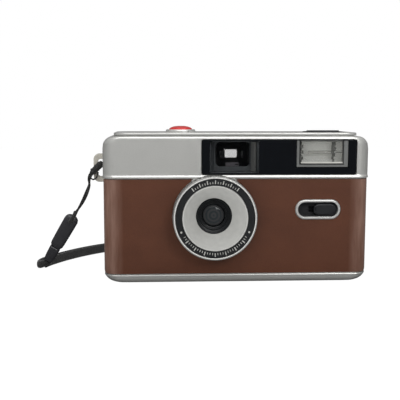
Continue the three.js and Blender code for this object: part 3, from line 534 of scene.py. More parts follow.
def refined(node, width):
    """The CAD node's own shape with its edges broken."""
    mesh = frame["nodes"][node].data.copy()
    with opened(mesh) as built:
        bmesh.ops.remove_doubles(built, verts=built.verts, dist=1e-6)
        bmesh.ops.dissolve_limit(built, angle_limit=math.radians(1), verts=built.verts, edges=built.edges)
    stands_for(rounded_edges(linked(mesh), width), node)


# ---- body outline
def arc_in(radius, distance):
    """How far a rounding of this radius stands back, at a distance from its edge."""
    if distance >= radius:
        return 0.0
    return radius - math.sqrt(max(radius * radius - (radius - distance) ** 2, 0))


def set_back(rounds, z):
    """How far a face stands back at height z, by its roundings at the base and the top."""
    return max(arc_in(rounds[0], z), arc_in(rounds[1], HEIGHT - z))


def level(z, y0, y1, inset=0.0, steps=10):
    """Plan outline of the body at height z, moved inward by inset. y0 or y1 cuts it off flat."""
    side = SIDE - set_back(SIDE_ROUNDS, z) - inset
    front = FRONT + set_back(FRONT_ROUNDS, z) + inset if y0 is None else y0
    back = BACK - set_back(BACK_ROUNDS, z) - inset if y1 is None else y1
    corner = max(CORNER - inset, 0.4)
    a, b = (corner if end is None else SHARP for end in (y0, y1))
    return [(u, v, z) for u, v in round_rect(-side, side, front, back, (a, a, b, b), steps)]


def heights(low, high, step=1.2, ends=(6.0, 6.0), fine=0.35):
    """Heights from low to high, close together near the rounded base and top."""
    out, z = [], low
    while z < high - 1e-6:
        out.append(z)
        near = z < ends[0] or z > HEIGHT - ends[1]
        z += fine if near else step
    out.append(high)
    return out


def hollow(inset, base, top, y0, y1):
    rings = [level(z, y0, y1, inset, steps=6) for z in heights(base, top, 20, fine=1.0)]
    return loft(rings)


# ---- strap and cords
STRING_ROUTE = (
    (-59.9, -0.6, 51.2), (-60.6, -2, 49.9), (-62.3, -2.8, 48.6), (-64.4, -2.6, 47), (-65.4, -1, 44.8),
    (-65.6, 0.6, 41.8), (-66.8, 2, 38.6), (-68.9, 4, 34.2), (-71.2, 5.2, 30.4), (-73, 6, 27.9))
SLIDER = (Vector((-73.6, 6.3, 26.9)), Vector((-82.5, 10.7, 12.1)))
SLEEVE = (Vector((-82.7, 10.8, 11.8)), Vector((-86.4, 12.4, 5.4)))
LOOP_ROUTE = (
    (-87, 12.5, 4.5), (-88.7, 13.1, 3.4), (-90.6, 14.2, 2.7), (-91.6, 16.4, 2.45), (-91, 19.4, 2.45),
    (-89.2, 24.2, 2.45), (-86.8, 29, 2.45), (-83.6, 35, 2.45), (-79.4, 41.6, 2.45), (-73.2, 49.8, 2.45),
    (-64.4, 58.6, 2.45), (-53, 65.6, 2.45), (-37, 70, 2.45), (-18, 71.6, 2.45), (0, 71, 2.45),
    (8.2, 67.4, 2.45), (11.4, 60, 2.45), (8.4, 52.6, 2.45), (0, 49, 2.45), (-14, 48.4, 2.45),
    (-28, 51.4, 2.45), (-40, 57.4, 2.45), (-51.6, 63.4, 2.45), (-62.8, 57, 2.45), (-71.4, 48.4, 2.45),
    (-77.6, 40.3, 2.45), (-81.7, 33.8, 2.45), (-84.8, 27.9, 2.45), (-87, 23.3, 2.45), (-88.5, 19, 2.45),
    (-88.5, 16.7, 2.6), (-87.5, 14.9, 3.5), (-85.9, 14.1, 4.9))


def between(a, b, start, end, t):
    return (a * (end - t) + b * (t - start)) / (end - start)


def spline(route, per_span=8):
    """Centripetal Catmull-Rom through every point of the route."""
    points = [Vector(p) for p in route]
    points = [points[0] * 2 - points[1]] + points + [points[-1] * 2 - points[-2]]
    out = []
    for i in range(1, len(points) - 2):
        p0, p1, p2, p3 = points[i - 1:i + 3]
        k0, k1 = 0.0, (p1 - p0).length ** 0.5
        k2 = k1 + (p2 - p1).length ** 0.5
        k3 = k2 + (p3 - p2).length ** 0.5
        for step in range(per_span):
            t = k1 + (k2 - k1) * step / per_span
            a, b, c = between(p0, p1, k0, k1, t), between(p1, p2, k1, k2, t), between(p2, p3, k2, k3, t)
            out.append(between(between(a, b, k0, k2, t), between(b, c, k1, k3, t), k1, k2, t))
    out.append(points[-2])
    return out


def frames_along(path, up_hint):
    """Each point with its side and up directions, up being kept near up_hint's direction."""
    out = []
    for i, p in enumerate(path):
        ahead = (path[min(i + 1, len(path) - 1)] - path[max(i - 1, 0)]).normalized()
        hint = up_hint(ahead)
        up = (hint - ahead * hint.dot(ahead)).normalized()
        out.append((p, ahead.cross(up), up))
    return out


def tube(path, section, hint):
    """section(i) gives the outline as (side, up) pairs at point i."""
    rings = []
    for i, (p, side, up) in enumerate(frames_along(path, hint)):
        rings.append([p + side * u + up * v for u, v in section(i)])
    return loft(rings)


def level_up(ahead):
    return Vector((0, 0, 1)) if abs(ahead.z) < 0.9 else Vector((0, 1, 0))


def steady(_ahead):
    return Vector((0.25, -1, 0.2))


def make_string():
    """Two strands of thin cord, twisted round each other between the lug and the slider."""
    path = spline(STRING_ROUTE, 10)
    turns, offset, radius = 1.4, 0.42, 0.50
    frames = frames_along(path, steady)
    strands = []
    for phase in (0, math.pi):
        line = []
        for i, (p, side, up) in enumerate(frames):
            t = phase + 2 * math.pi * turns * i / len(frames)
            line.append(p + (side * math.cos(t) + up * math.sin(t)) * offset)
        strands.append(tube(line, lambda i: circle(radius, 10), steady))
    return join_meshes(strands), path


def squared_oval(half_width, half_height, sides=20, power=0.55):
    """Outline between an oval and a rectangle."""
    return [(math.copysign(abs(u) ** power, u) * half_width, math.copysign(abs(v) ** power, v) * half_height)
            for u, v in circle(1, sides)]


def make_loop():
    """Flat woven wrist band, standing on its edge, pinched where it folds and where it enters the sleeve."""
    path = spline(LOOP_ROUTE, 8)
    last = len(path) - 1

    def section(i):
        pinch = math.exp(-(min(i, last - i) / 14) ** 2)
        fold = math.exp(-((i - 20) / 9) ** 2)
        thick, high = 0.68 + 0.5 * pinch + 0.45 * fold, 2.2 - 0.75 * pinch - 0.25 * fold
        return squared_oval(thick, high, power=0.55 + 0.35 * fold)

    return tube(path, section, level_up), path


def at_share(table, share):
    """Reads a table of (share of length, size) pairs, straight between its rows."""
    for (s0, a), (s1, b) in zip(table, table[1:]):
        if share <= s1:
            return a + (b - a) * (share - s0) / (s1 - s0)
    return table[-1][1]


def strap_form(ends, widths, thicknesses, ribs, rib_depth):
    """Rounded moulded block between two points, ribbed on one side."""
    start, along = ends[0], (ends[1] - ends[0]).normalized()
    across = Vector((0, 1, 0)).cross(along).normalized()
    through = across.cross(along).normalized()
    length = (ends[1] - start).length
    rings, count = [], 56
    for i in range(count + 1):
        s = i / count
        width, thickness = at_share(widths, s) / 2, at_share(thicknesses, s) / 2
        groove = rib_depth * (0.5 - 0.5 * math.cos(2 * math.pi * ribs * s))
        ring = []
        for (u, v), (round_u, round_v) in zip(circle(1, 28), squared_oval(1, 1, 28, 0.5)):
            reach = width - (groove if u < -0.3 else 0)
            ring.append(
                start + along * (length * s) + across * (round_u * reach) + through * (round_v * thickness))
        rings.append(ring)
    return loft(rings)


def string_details():
    """Lark's head knot on the lug, the little loop that hangs under it, and the strands' way into the slider."""
    knot = [Vector(p) for p in (
        (-59.4, -1.9, 52.4), (-60.4, -2.3, 51.3), (-61.8, -2.6, 49.9), (-63.4, -2.8, 48.3), (-64.6, -2.7, 46.9))]
    path = spline(knot)
    last = len(path) - 1
    parts = [tube(path, lambda i: circle(1.5 * math.sin(math.pi * (0.12 + 0.80 * i / last)) ** 0.5, 16), steady)]
    for centre in knot[1:4]:
        ring = [centre + Vector((
            0.75 * math.sin(t) - 0.35 * math.cos(t), -math.cos(t) * 1.35, math.sin(t) * -1.0))
                for t in (2 * math.pi * j / 20 for j in range(21))]
        parts.append(tube(ring, lambda i: circle(0.42, 8), steady))
    hanging = spline((
        (-64.2, -2.9, 47), (-64.6, -3.0, 45.6), (-63.6, -3.1, 44.7), (-62.3, -3.0, 45.2), (-61.6, -2.9, 46.5),
        (-61.2, -2.7, 48)))
    parts.append(tube(hanging, lambda i: circle(0.36, 8), steady))
    adds_to(join_meshes(parts), "string_hitch", "strap_lug", "strap_cord")
    run = spline(((-72.3, 4.6, 29.2), (-73.2, 3.9, 27.2), (-74.2, 3.9, 25.6), (-75.1, 4.6, 24.2)))
    mouth = tube(run, lambda i: squared_oval(0.95, 0.75, 16, 0.9), steady)
    adds_to(mouth, "slider_mouth", "strap_slider", "strap_cord")


def make_strap():
    string, string_path = make_string()
    slider = strap_form(
        SLIDER, [(0, 3.0), (0.03, 4.8), (0.08, 6.0), (0.14, 6.6), (0.5, 6.5), (0.9, 6.2), (0.97, 5.8), (1, 4.8)],
        [(0, 1.8), (0.05, 3.2), (0.14, 4.0), (0.9, 3.9), (1, 3.0)], 14, 0.16)
    sleeve = strap_form(
        SLEEVE, [(0, 4.4), (0.06, 5.0), (0.5, 4.9), (0.85, 4.6), (1, 3.9)],
        [(0, 3.6), (0.06, 4.4), (1, 4.2)], 6, 0.18)
    loop, loop_path = make_loop()
    stands_for(slider, "strap_slider", angle=50)
    stands_for(sleeve, "strap_sleeve", angle=50)
    stands_for(string, "strap_string", angle=60, weighted=False, name="strap_string_cord")
    stands_for(loop, "wrist_loop", angle=60, weighted=False, name="wrist_loop_band")
    # The open door would cut the band, which is limp. The band is taken off its body and left where it lies.
    loop.parent = None
    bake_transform(loop)
    string_path, loop_path = ([tuple(p * MM) for p in path] for path in (string_path, loop_path))


make_strap()
string_details()


# ---- casing
def face_behind(inset, back):
    """The body's outline under the covering, from its front to y = back, as a cutting tool."""
    return loft([level(z, None, back, inset) for z in heights(2, 50, 2.5, ends=(6.2, 0))])


def knob_and_counter_holes():
    return [rod(REWIND, KNOB_HOLE, 60, 70, steps=96), rod(COUNTER_WINDOW, 2.7, 60, 70)]


def shell_profile():
    """(height, how far it stands out) up the front: base band, covered face, proud lip, upper band."""
    lower = [(z, 0) for z in heights(0, BAND_HIGH - 0.6, 2.5, ends=(6, 0)) if not 2.9 < z < 4.3]
    lower += [(2.95, 0), (3.1, 0.17), (3.3, 0.25), (3.6, 0.17), (3.9, 0.06), (4.05, 0), (4.3, 0)]
    lip = [(46.13, 0.1), (46.2, 0.3), (46.35, 0.42), (46.6, 0.47), (46.82, 0.44), (47.05, 0.31), (47.3, 0.14),
           (47.52, 0)]
    upper = [(z, 0) for z in heights(47.9, HEIGHT, 2.2, ends=(0, 5.4), fine=0.3)]
    return sorted(lower) + lip + upper


def plinth(left_half, stations):
    """Block between the lip and the lens barrel, wider at its foot. stations are (y, spread) pairs."""
    outline = left_half + [(-x, z) for x, z in reversed(left_half)]
    return loft([[(LENS[0] + x * spread, y, LENS[1] + z) for x, z in outline] for y, spread in stations])


def front_shell():
    shell = loft([[(x * (1 + lip * 0.004), y - (lip if y < -10 else 0), h) for x, y, h in level(z, None, SPLIT)]
                  for z, lip in shell_profile()])
    recess = block(-70, 70, -30, 6.8, BAND_LOW, BAND_HIGH)
    cut(recess, face_behind(SKIN, 30))
    cut(shell, recess)
    cut(shell, hollow(2.6, 2.2, HEIGHT - 1.6, None, 40))
    join(shell, plinth([(-9.2, 17.0), (-9.5, 16.2), (-10.3, 14.6), (-11.6, 13.2), (-11.0, 12.4)],
                       ((-15.7, 1), (-17.0, 1), (-17.18, 0.992), (-17.25, 0.975))))
    cut(
        shell,
        rod(LENS, 18.25, -20, FRONT + 1.25, "y", 96),
        rod(LENS, 12, -20, -13, "y", 64),
        hole(-15.75, 52.45, 47.5, 63.2, 1.2, -19, -15.25),
        block(-12.6, 10, -18, -13, 48, 62.5),
        block(25.7, 48.7, -18, -13, 50.8, 62.4),
        hole(26.3, 44.9, 28.75, 36.05, 3.64, -18, -13),
        rod(BUTTON, 2, 60, 70),
        *knob_and_counter_holes(),
        block(10.4, 23.8, -13.6, -0.8, -1, 3),
        rod(RELEASE, 2.1, -1, 3),
        *[rod(s, 2.2, -1, 1.4) for s in SCREWS],
        *[rod(s, 1.2, -1, 3, steps=24) for s in SCREWS],
        hole(-64.2, -54.9, 42.9, 56.7, 2.6, -1.6, 1.6),
    )
    stands_for(rounded_edges(shell, 0.1, 1, 50), "front_shell", angle=40)


def knuckles(name, spans, y0, y1, node):
    parts = []
    for z0, z1 in spans:
        parts.append(lathe([(0.6, z0), (1.2, z0), (1.2, z1), (0.6, z1)], HINGE, "z", 40, 0.12))
        parts.append(pad(-58.45, -57.1, y0, y1, 0.2, z0 + 0.05, z1 - 0.05, "z", 0.15))
    adds_to(join_meshes(parts), name, node)


def covering():
    outer_rings = [(4.2, 0.55), (4.24, 0.4), (4.34, 0.29), (4.5, 0.25)]
    outer_rings += [(z, 0.25) for z in heights(5.2, 44.6, 2.0, ends=(6.2, 0))]
    outer_rings += [(45.5, 0.25), (45.66, 0.29), (45.76, 0.4), (45.8, 0.55)]
    skin = loft([level(z, None, 6.5, inset) for z, inset in outer_rings])
    cut(
        skin, face_behind(0.75, 9), rod(LENS, 18.3, -20, -12, "y", 96),
        plinth([(-9.4, 17.4), (-9.8, 16.2), (-10.6, 14.6), (-11.9, 13.0)], ((-19, 1), (-12, 1))),
        hole(25.45, 45.75, 27.9, 36.9, 4.45, -20, -12),
        block(-64, -50, -2, 2, 42.5, 47),
    )
    stands_for(skin, "leatherette", angle=40)


def top_plate():
    plate = pad(-53.6, 53.6, -15.5, 15, 6, 64.65, PLATE_TOP, "z", 0.45, (False, True), 12, 6)
    cut(plate, rod(BUTTON, 6.9, 60, 70, steps=72), *knob_and_counter_holes())
    stands_for(rounded_edges(plate, 0.08, 2, 60), "top_plate", angle=40)


def window_panel():
    panel = pad(-15.5, 52.2, 47.7, 63, 1, -16.85, -15.55, "y", 0.22)
    cut(panel, block(-12, 9.4, -18, -15, 48.4, 62.3), block(25.7, 48.7, -18, -15, 50.8, 62.6))
    stands_for(panel, "window_panel", angle=40)


front_shell()
knuckles("shell_knuckles", ((8.3, 18), (22, 32), (36, 45.7)), 7.6, 9.7, "front_shell")
covering()
top_plate()
window_panel()


def rear_block(low, high):
    return loft([level(z, SPLIT + 0.3, None) for z in heights(low, high, 2.5, ends=(6.2, 5.4))])


def rear_cover():
    cover = rear_block(52.7, HEIGHT)
    join(cover, loft([[(x, y, z) for x, y in round_rect(-9.3, 8.7, 9.3, BACK, SHARP, 1)] for z in (49.3, 53.0)]))
    combine(cover, "DIFFERENCE", [
        hollow(1.8, 40, HEIGHT - 1.6, -10, None),
        rod(REWIND, KNOB_HOLE, 60, 70, steps=96),
        hole(SPOOL[0] - 9.8, SPOOL[0] + 9.8, 53.8, 60.2, 0.8, 12, 19),
        hole(-3.7, 4, 52.8, 58, 0.8, 12, 19),
        rod((8, 56), 1.5, 12, 19, "y"),
    ], "MANIFOLD")
    stands_for(rounded_edges(cover, 0.12, 2, 50), "rear_cover", angle=40)


def back_door():
    door = rear_block(0, 52.4)
    cut(
        door, loft([level(z, 2, None, 1.8, steps=6) for z in heights(1.8, 51.1, 20, fine=1.0)]),
        block(-56.7, 56.7, 8, 11.4, 1.8, 53),
        block(-9.6, 9, 8, 19, 49, 53),
        block(-9.6, 9, 8, 15.2, 47.4, 53),
        block(-60, -56.2, 8, 12.2, 7.5, 46.5),
        hole(38.2, 44, 16, 42, 1, 14, 19),
        block(56, 60, 10.9, 13.5, 22.5, 33.2),
    )
    stands_for(rounded_edges(door, 0.12, 2, 50), "back_door", angle=40)


def thumb_pad():
    """Ribbed rest for the thumb, moulded on the door."""
    ribs = [
        pad(-52.6, -41.4, z, z + 0.95, 0.45, 17.3, 17.85, steps=4)
        for z in (14.2 + i * 1.95 for i in range(13))
    ]
    adds_to(join_meshes([pad(-54, -40, 12, 40, 2, 16.7, 17.45), *ribs]), "thumb_pad", "back_door")


def window_rim():
    rim = pad(37.4, 44.8, 15.2, 42.8, 1.6, 16.8, 17.35, "y", 0.25)
    cut(rim, hole(38.3, 43.9, 16.1, 41.9, 0.9, 15, 19))
    adds_to(rim, "film_window_rim", "back_door")


def door_latch():
    plate = pad(10.2, 14.4, 20, 32, 0.9, 58.8, 59.75, "x")
    hook = pad(11.2, 13.4, 21.4, 30.6, 0.3, 54.9, 56, "x", 0.15)
    stem = block(55.9, 58.9, 11.3, 13.1, 23, 29.2)
    ribs = [
        pad(10.7, 13.9, z, z + 0.7, 0.3, 59.5, 59.8, "x", 0.12, steps=3)
        for z in (22.2 + i * 1.5 for i in range(6))
    ]
    stands_for(join_meshes([plate, stem, hook, *ribs]), "door_latch")


# ---- lens
SCALLOPS = 52


def scalloped(turn, radius, y):
    if radius < 17.6 or not -23.25 < y < -17.2:
        return 0
    return -0.55 * (1 - abs(math.sin(SCALLOPS / 2 * turn)))


def lens_barrel():
    profile = [(17.3, -24), (17.9, -24), (18.1, -23.75), (18.12, -23.35), (18.15, -23.2), (18.15, -20),
               (18.15, -17.3), (17.4, -17.3), (17.4, -16.25), (16.2, -16.25), (16.2, -21.6), (17.3, -21.6)]
    barrel = lathe(profile, LENS, steps=SCALLOPS * 8, soft=0.08, wobble=scalloped)
    stands_for(barrel, "lens_barrel", "barrel")
    rim = [(17.2, -24.05), (17.62, -24.08), (17.75, -23.9), (17.75, -23.6), (17.2, -23.6)]
    adds_to(lathe(rim, LENS, steps=160, soft=0.06), "barrel_rim", "lens_barrel", "rim_bright")


def on_ring(turn, radius, y):
    return (LENS[0] + radius * math.sin(turn), y, LENS[1] + radius * math.cos(turn))


def ring_marks():
    """Plain scale marks round the black ring: long and short strokes and a few dots."""
    points, faces = [], []
    inner, low, high = 14.9, -23.66, -23.76

    def stroke(turn, outer, half):
        first = len(points)
        for y in (low, high):
            for r, side in ((inner, -half), (inner, half), (outer, half), (outer, -half)):
                points.append(on_ring(turn + side / r, r, y))
        faces.extend(tuple(first + k for k in f) for f in (
            (0, 1, 2, 3), (7, 6, 5, 4), (0, 4, 5, 1), (1, 5, 6, 2), (2, 6, 7, 3), (3, 7, 4, 0)))

    for middle, reach, every in ((0, 9, 3), (180, 14, 4)):
        for i in range(-reach, reach + 1):
            outer, half = (16.5, 0.2) if i % every == 0 else (15.8, 0.13)
            stroke(math.radians(middle + i * 4.2), outer, half)
    dots = [rod(on_ring(math.radians(a), 15.7, 0)[::2], 0.42, high, low, "y", 20) for a in (-112, 112)]
    marks = join_meshes([mesh_object(points, faces), *dots])
    adds_to(marks, "ring_marks", "legend_ring", "mark_white")


def lens_pieces():
    lens_barrel()
    ring_marks()
    for node, material, angle, steps, soft, profile in (
        ("legend_ring", None, 32, 160, 0.08, [(14.25, -23.7), (17, -23.7), (17, -23), (14.25, -23)]),
        ("lens_cone", "dish", 32, 160, 0.1, [
            (13.6, -23.85), (14.05, -23.85), (14.05, -22.7), (17, -22.7), (17, -21.9), (13.7, -21.9),
            (13.4, -21.6), (8.9, -15.2), (7.95, -15.2), (7.95, -15.75), (8.3, -16.1), (13.2, -23.2)]),
        ("lens_cell", "well", 32, 128, 0.06, [
            (7.3, -15.4), (7.85, -15.5), (7.85, -14), (10.5, -14), (10.5, -12.8), (7, -12.8),
            (7, -9.4), (4, -9.4),
            (4, -10.5), (5.2, -10.5), (5.2, -13.05), (5.45, -13.2), (5.5, -13.05), (5.85, -13.05), (5.9, -13.75),
            (6.15, -13.8), (6.2, -13.6), (6.65, -13.6), (6.7, -14.4), (7.0, -14.5), (7.05, -15.0)]),
        ("front_lens_element", "lens_glass", 50, 96, 0, [
            (0, -10.9), (4.9, -11.1), (4.9, -11.8), (4.6, -12.15), (4.0, -12.5), (3.2, -12.8), (2.2, -13.02),
            (1.1, -13.16), (0, -13.2)]),
        ("rear_lens_element", "lens_glass", 50, 64, 0, [
            (0, -9.3), (1.9, -9.4), (3.7, -9.7), (3.7, -10.2), (1.9, -10.35), (0, -10.4)]),
    ):
        stands_for(lathe(profile, LENS, steps=steps, soft=soft), node, material, angle)
    for node in ("shutter_plate", "shutter_blade"):
        refined(node, 0.06)


# ---- viewfinder and flash
def finder_pieces():
    mouth_in, mouth_out = (-11.8, 9.2, 48.6, 62.1), (-12.6, 10, 47.7, 62.5)
    throat, waist = (-8.9, 6.3, 48.5, 62), (-9.8, 7.2, 47.6, 62.5)
    mouth = taper(mouth_out, -14.1, waist, -7.0)
    cut(mouth, taper(mouth_in, -14.9, throat, -6.9))
    adds_to(mouth, "finder_mouth", "finder_tunnel", "finder_wall")
    eye, eye_out = (-3.3, 2.9, 53.4, 57.5), (-4.3, 3.9, 52.4, 58.5)
    body = join(taper(waist, -7.0, eye_out, 12.6), taper(eye_out, 12.5, (-4.4, 4, 52.3, 58.6), 14.9))
    cut(body, taper(throat, -7.5, throat, -4.6), taper((-8.1, 5.5, 49.3, 61.2), -4.8, eye, 12.6),
        taper(eye, 12, eye, 16))
    stands_for(body, "finder_tunnel", angle=30)
    mask = pad(-9.85, 7.25, 48.6, 62.0, 0.3, -9.9, -9.45, "y", 0.1)
    cut(mask, hole(-9.15, 6.5, 50.9, 61.7, 2.3, -12, -8))
    adds_to(mask, "finder_mask", "finder_tunnel", "finder_wall")
    for name, x0, x1 in (("finder_band_left", -7.4, -3.9), ("finder_band_right", 3.5, 5.3)):
        adds_to(pad(x0, x1, 53.9, 57.2, 0.3, 2.0, 2.4, "y", 0.1), name, "finder_tunnel", "finder_band")
    # Painted light: a pale plate under the eyepiece stands for the light from the eyepiece lying on the tunnel
    # floor.
    adds_to(pad(-4.1, 1.9, 50.6, 52.3, 0.3, -4.3, -3.9, "y", 0.1), "finder_light_patch", "finder_tunnel", "finder_light_patch")
    adds_to(pad(0.2, 2.9, 51.2, 51.65, 0.2, -4.6, -4.4, "y", 0.05), "finder_dash", "finder_tunnel", "dark_inner")
    # Painted highlights: two thin pale strips in the right side of the finder mouth.
    for i, x in enumerate((7.55, 8.1)):
        line = taper((x, x + 0.16, 48.9, 61.8), -14.6, (x - 0.9, x - 0.78, 48.9, 61.8), -10.2)
        adds_to(line, f"finder_highlight_line_{i}", "finder_tunnel", "flash_rim")
    stands_for(pad(-11.95, 9.35, 48.45, 62.25, 0.3, -16.75, -15.95, "y", 0.12), "finder_window", "window_clear")
    stands_for(pad(-8.6, 6, 48.8, 61.7, 1.8, -6.6, -5.2, "y", 0.4), "finder_front_lens", "window_clear")
    stands_for(pad(-3.2, 2.8, 53.5, 57.4, 0.9, 13, 14.4), "finder_eyepiece", "eyepiece_clear")
    rim = pad(-3.3, 2.9, 53.4, 57.5, 0.7, 12.55, 12.9, "y", 0.1)
    cut(rim, hole(-3.1, 2.7, 53.55, 57.35, 0.9, 10, 14))
    adds_to(rim, "eyepiece_rim", "finder_eyepiece", "rim_white")


def ribbed_window():
    """Flash window: rounded ribs across its front."""
    low, high, count, per_rib = 52.3, 62.25, 9, 8
    front = [(-15.5 - 0.42 * abs(math.sin(math.pi * rib)), low + (high - low) * rib / count)
             for rib in (i / per_rib for i in range(count * per_rib + 1))]
    outline = [(-14.75, low), *front, (-14.75, high)]
    rings = [[(x, y, z) for y, z in outline] for x in (27.6, 46.3)]
    stands_for(loft(rings), "flash_fresnel", "ribbed_clear", angle=50)


def flash_reflector():
    """Bright trough behind the tube, open to the front."""
    def wall(depth, half_height):
        turns = (math.radians(-90 + 180 * i / 24) for i in range(25))
        return [(-13.1 + depth * math.cos(t), 57.1 + half_height * math.sin(t)) for t in turns]

    outline = wall(1.6, 5.0) + wall(1.3, 4.65)[::-1]
    parts = [loft([[(x, y, z) for y, z in outline] for x in (27.6, 46.8)])]
    parts += [block(x, x + 0.35, -13.1, -11.7, 52.2, 61.9) for x in (27.25, 46.8)]
    stands_for(join_meshes(parts), "flash_reflector", "reflector", angle=40)


def electrode(name, x, steps, y=-14.74, low=52.9, high=61.9):
    """Dark electrode boot, broken into steps the way the ribs of the window show it."""
    left, right = [], []
    rise = (high - low) / len(steps)
    for i, (a, b) in enumerate(steps):
        z = low + rise * i
        left += [(x + a, z), (x + a * 0.6 + 0.1, z + rise / 2), (x + a, z + rise)]
        right += [(x + b, z), (x + b * 0.8, z + rise / 2), (x + b, z + rise)]
    boot = loft([[(u, at, v) for u, v in left + right[::-1]] for at in (y, y + 0.3)])
    adds_to(boot, name, "flash_tube", "dark_inner")


def flash_pieces():
    frame_piece = pad(25.9, 48.5, 51.0, 62.5, 0.3, -16.6, -13.4, "y", 0.15)
    cut(frame_piece, taper((26.75, 46.85, 51.75, 63.5), -17.5, (27.5, 46.4, 52.25, 63.5), -14.8),
        block(27.5, 46.4, -15.5, -12, 52.3, 62.3))
    stands_for(frame_piece, "flash_frame", "flash_rim", angle=30)
    dark = pad(27.0, 47.25, 51.95, 62.45, 0.3, -15.95, -15.45, "y", 0.1)
    cut(dark, hole(27.75, 46.35, 52.55, 63.6, 0.3, -18, -12))
    adds_to(dark, "flash_gasket", "flash_frame", "dark_inner")
    ribbed_window()
    flash_reflector()
    stands_for(rod((-13.1, 57.2), 0.75, 31.5, 42.9, "x", 32), "flash_tube", "tube_glass")
    electrode("electrode_left", 27.7, (
        (0.3, 0.9), (0.5, 1.5), (0.5, 0.9), (0.7, 1.6), (0.4, 0.9), (0.6, 1.5), (0.3, 0.7)))
    electrode("electrode_right", 41.2, (
        (0.9, 1.9), (0.4, 1.5), (0.7, 2.3), (0.2, 1.9), (0.3, 2.7), (0.3, 2.2), (0.5, 2.4)))
    adds_to(rod((-14.72, 57.3), 0.14, 43.2, 46.2, "x", 12), "electrode_wire", "flash_tube", "dark_inner")
    bright_edge = pad(27.9, 46.3, 52.5, 53.25, 0.15, -15.98, -15.5, "y", 0.1)
    adds_to(bright_edge, "flash_sill", "flash_frame", "rim_white")


# ---- switch and top controls
def switch_pieces():
    x, z = SWITCH
    half_wide, half_high = 9.9, 4.25

    def stadium(inset):
        """The bezel's outline moved inward, as pad and hole take it."""
        wide, high = half_wide - inset, half_high - inset
        return x - wide, x + wide, z - high, z + high, high - 0.01

    bezel = pad(*stadium(0), -17.4, -16.2, "y", 0.42, steps=20, edge_steps=6)
    cut(bezel, hole(*stadium(1.0), -19, -15, steps=20))
    stands_for(rounded_edges(bezel, 0.14, 3, 50), "flash_switch_bezel", angle=40)
    track = pad(*stadium(1.2), -16.4, -13.6, "y", 0.15, steps=16)
    cut(track, hole(*stadium(1.7), -17, -15, steps=16), block(x - 3.9, x + 5.2, -16, -13, z - 1.3, z + 1.3))
    stands_for(track, "flash_switch_track", "dark_inner")
    right, half = x + half_wide - 1.9, half_high - 1.9
    knob = pad(right - 9.9, right, z - half, z + half, half - 0.02, -17.2, -15.3, "y", 0.55, (True, False), 16, 6)
    cut(knob, lathe([(0, -17.0), (3, -17.3), (3, -19), (0, -19)], (right - 5.0, z), steps=64, soft=0))
    join(knob, block(x + 2.5, x + 4.9, -15.4, -13.2, z - 1, z + 1))
    stands_for(knob, "flash_switch_knob", angle=40)
    ridge = pad(right - 9.75, right - 9.0, z - 1.5, z + 1.5, 0.35, -17.2, -16.9, "y", 0.12)
    adds_to(ridge, "switch_ridge", "flash_switch_knob")


def knurl(count, depth, low, high, above):
    def wobble(turn, radius, height):
        inside = radius > above and low < height < high
        return -depth * (0.5 - 0.5 * math.cos(count * turn)) if inside else 0
    return wobble


def top_pieces():
    cap = [(0, 59), (1.6, 59), (1.6, 67), (4.3, 67), (4.3, 65.95), (5.2, 65.95), (5.2, 66.9), (5.12, 67.25),
           (4.9, 67.55), (4.5, 67.85), (3.9, 68.12), (3.0, 68.38), (2.0, 68.53), (1.0, 68.59), (0, 68.6)]
    stands_for(lathe(cap, BUTTON, "z", 96, 0.04), "shutter_button", angle=50)
    collar = [(5.5, 64.7), (6.6, 64.7), (6.6, 66.5), (6.45, 66.9), (6.1, 67.1), (5.75, 67.05), (5.5, 66.8)]
    stands_for(lathe(collar, BUTTON, "z", 96, 0.1), "button_collar")
    knob = lathe([(0, 62.2), (9.3, 62.2), (9.3, 65.7), (9.0, 66.1), (0, 66.1)], REWIND, "z", 288, 0.12,
                 knurl(72, 0.22, 62.4, 66, 9.0))
    x, y = REWIND
    cut(knob, block(x - 10, x + 8.3, y - 2.3, y + 2.3, 64.3, 67), rod((x + 5.6, y), 2.3, 62.7, 67, steps=40))
    join(knob, rod(CRANK_HINGE, 0.5, y - 2.6, y + 2.6, "y", 16))
    stands_for(knob, "rewind_knob", angle=35)
    arm = pad(34.6, 48.65, y - 2, y + 2, 1.95, 65.35, 66.55, "z", 0.25, steps=10)
    join(arm, rod(CRANK_HINGE, 0.95, y - 2, y + 2, "y", 24))
    cut(arm, rod(CRANK_HINGE, 0.75, y - 3, y + 3, "y", 20))
    stands_for(arm, "rewind_crank", angle=35)
    grip = lathe([(0, 63), (1.9, 63), (1.9, 65.05), (0, 65.05)], (x + 5.6, y), "z", 96, 0.2,
                 knurl(16, 0.15, 63.2, 64.9, 1.6))
    stands_for(grip, "crank_grip")
    glass = lathe([(0, 63.2), (2.4, 63.2), (2.4, 65.8), (2.1, 66.0), (1.2, 66.12), (0, 66.16)], COUNTER_WINDOW,
                  "z", 64, 0.06)
    stands_for(glass, "counter_window", "window_clear", angle=50)
    wheel = lathe([(0, 54.4), (13.4, 54.4), (13.4, 59.6), (0, 59.6)], SPOOL, "z", 480, 0.35,
                  knurl(60, 0.45, 54.2, 59.8, 12.5))
    join(wheel, rod(SPOOL, 3, 53.3, 61.4))
    adds_to(wheel, "thumbwheel_rim", "advance_thumbwheel")


def strap_lug():
    lug = pad(-63.4, -54.9, 43.4, 56.2, 2.6, -1.2, 1.2, "y", 0.55, steps=10)
    cut(lug, hole(-61.55, -50, 45.9, 53.7, 1.4, -3, 3), block(-55.6, -50, -3, 3, 42, 60))
    join(lug, block(-55.8, -55.2, -2.4, 2.4, 43.8, 53))
    stands_for(rounded_edges(lug, 0.18, 2, 50), "strap_lug", angle=40)


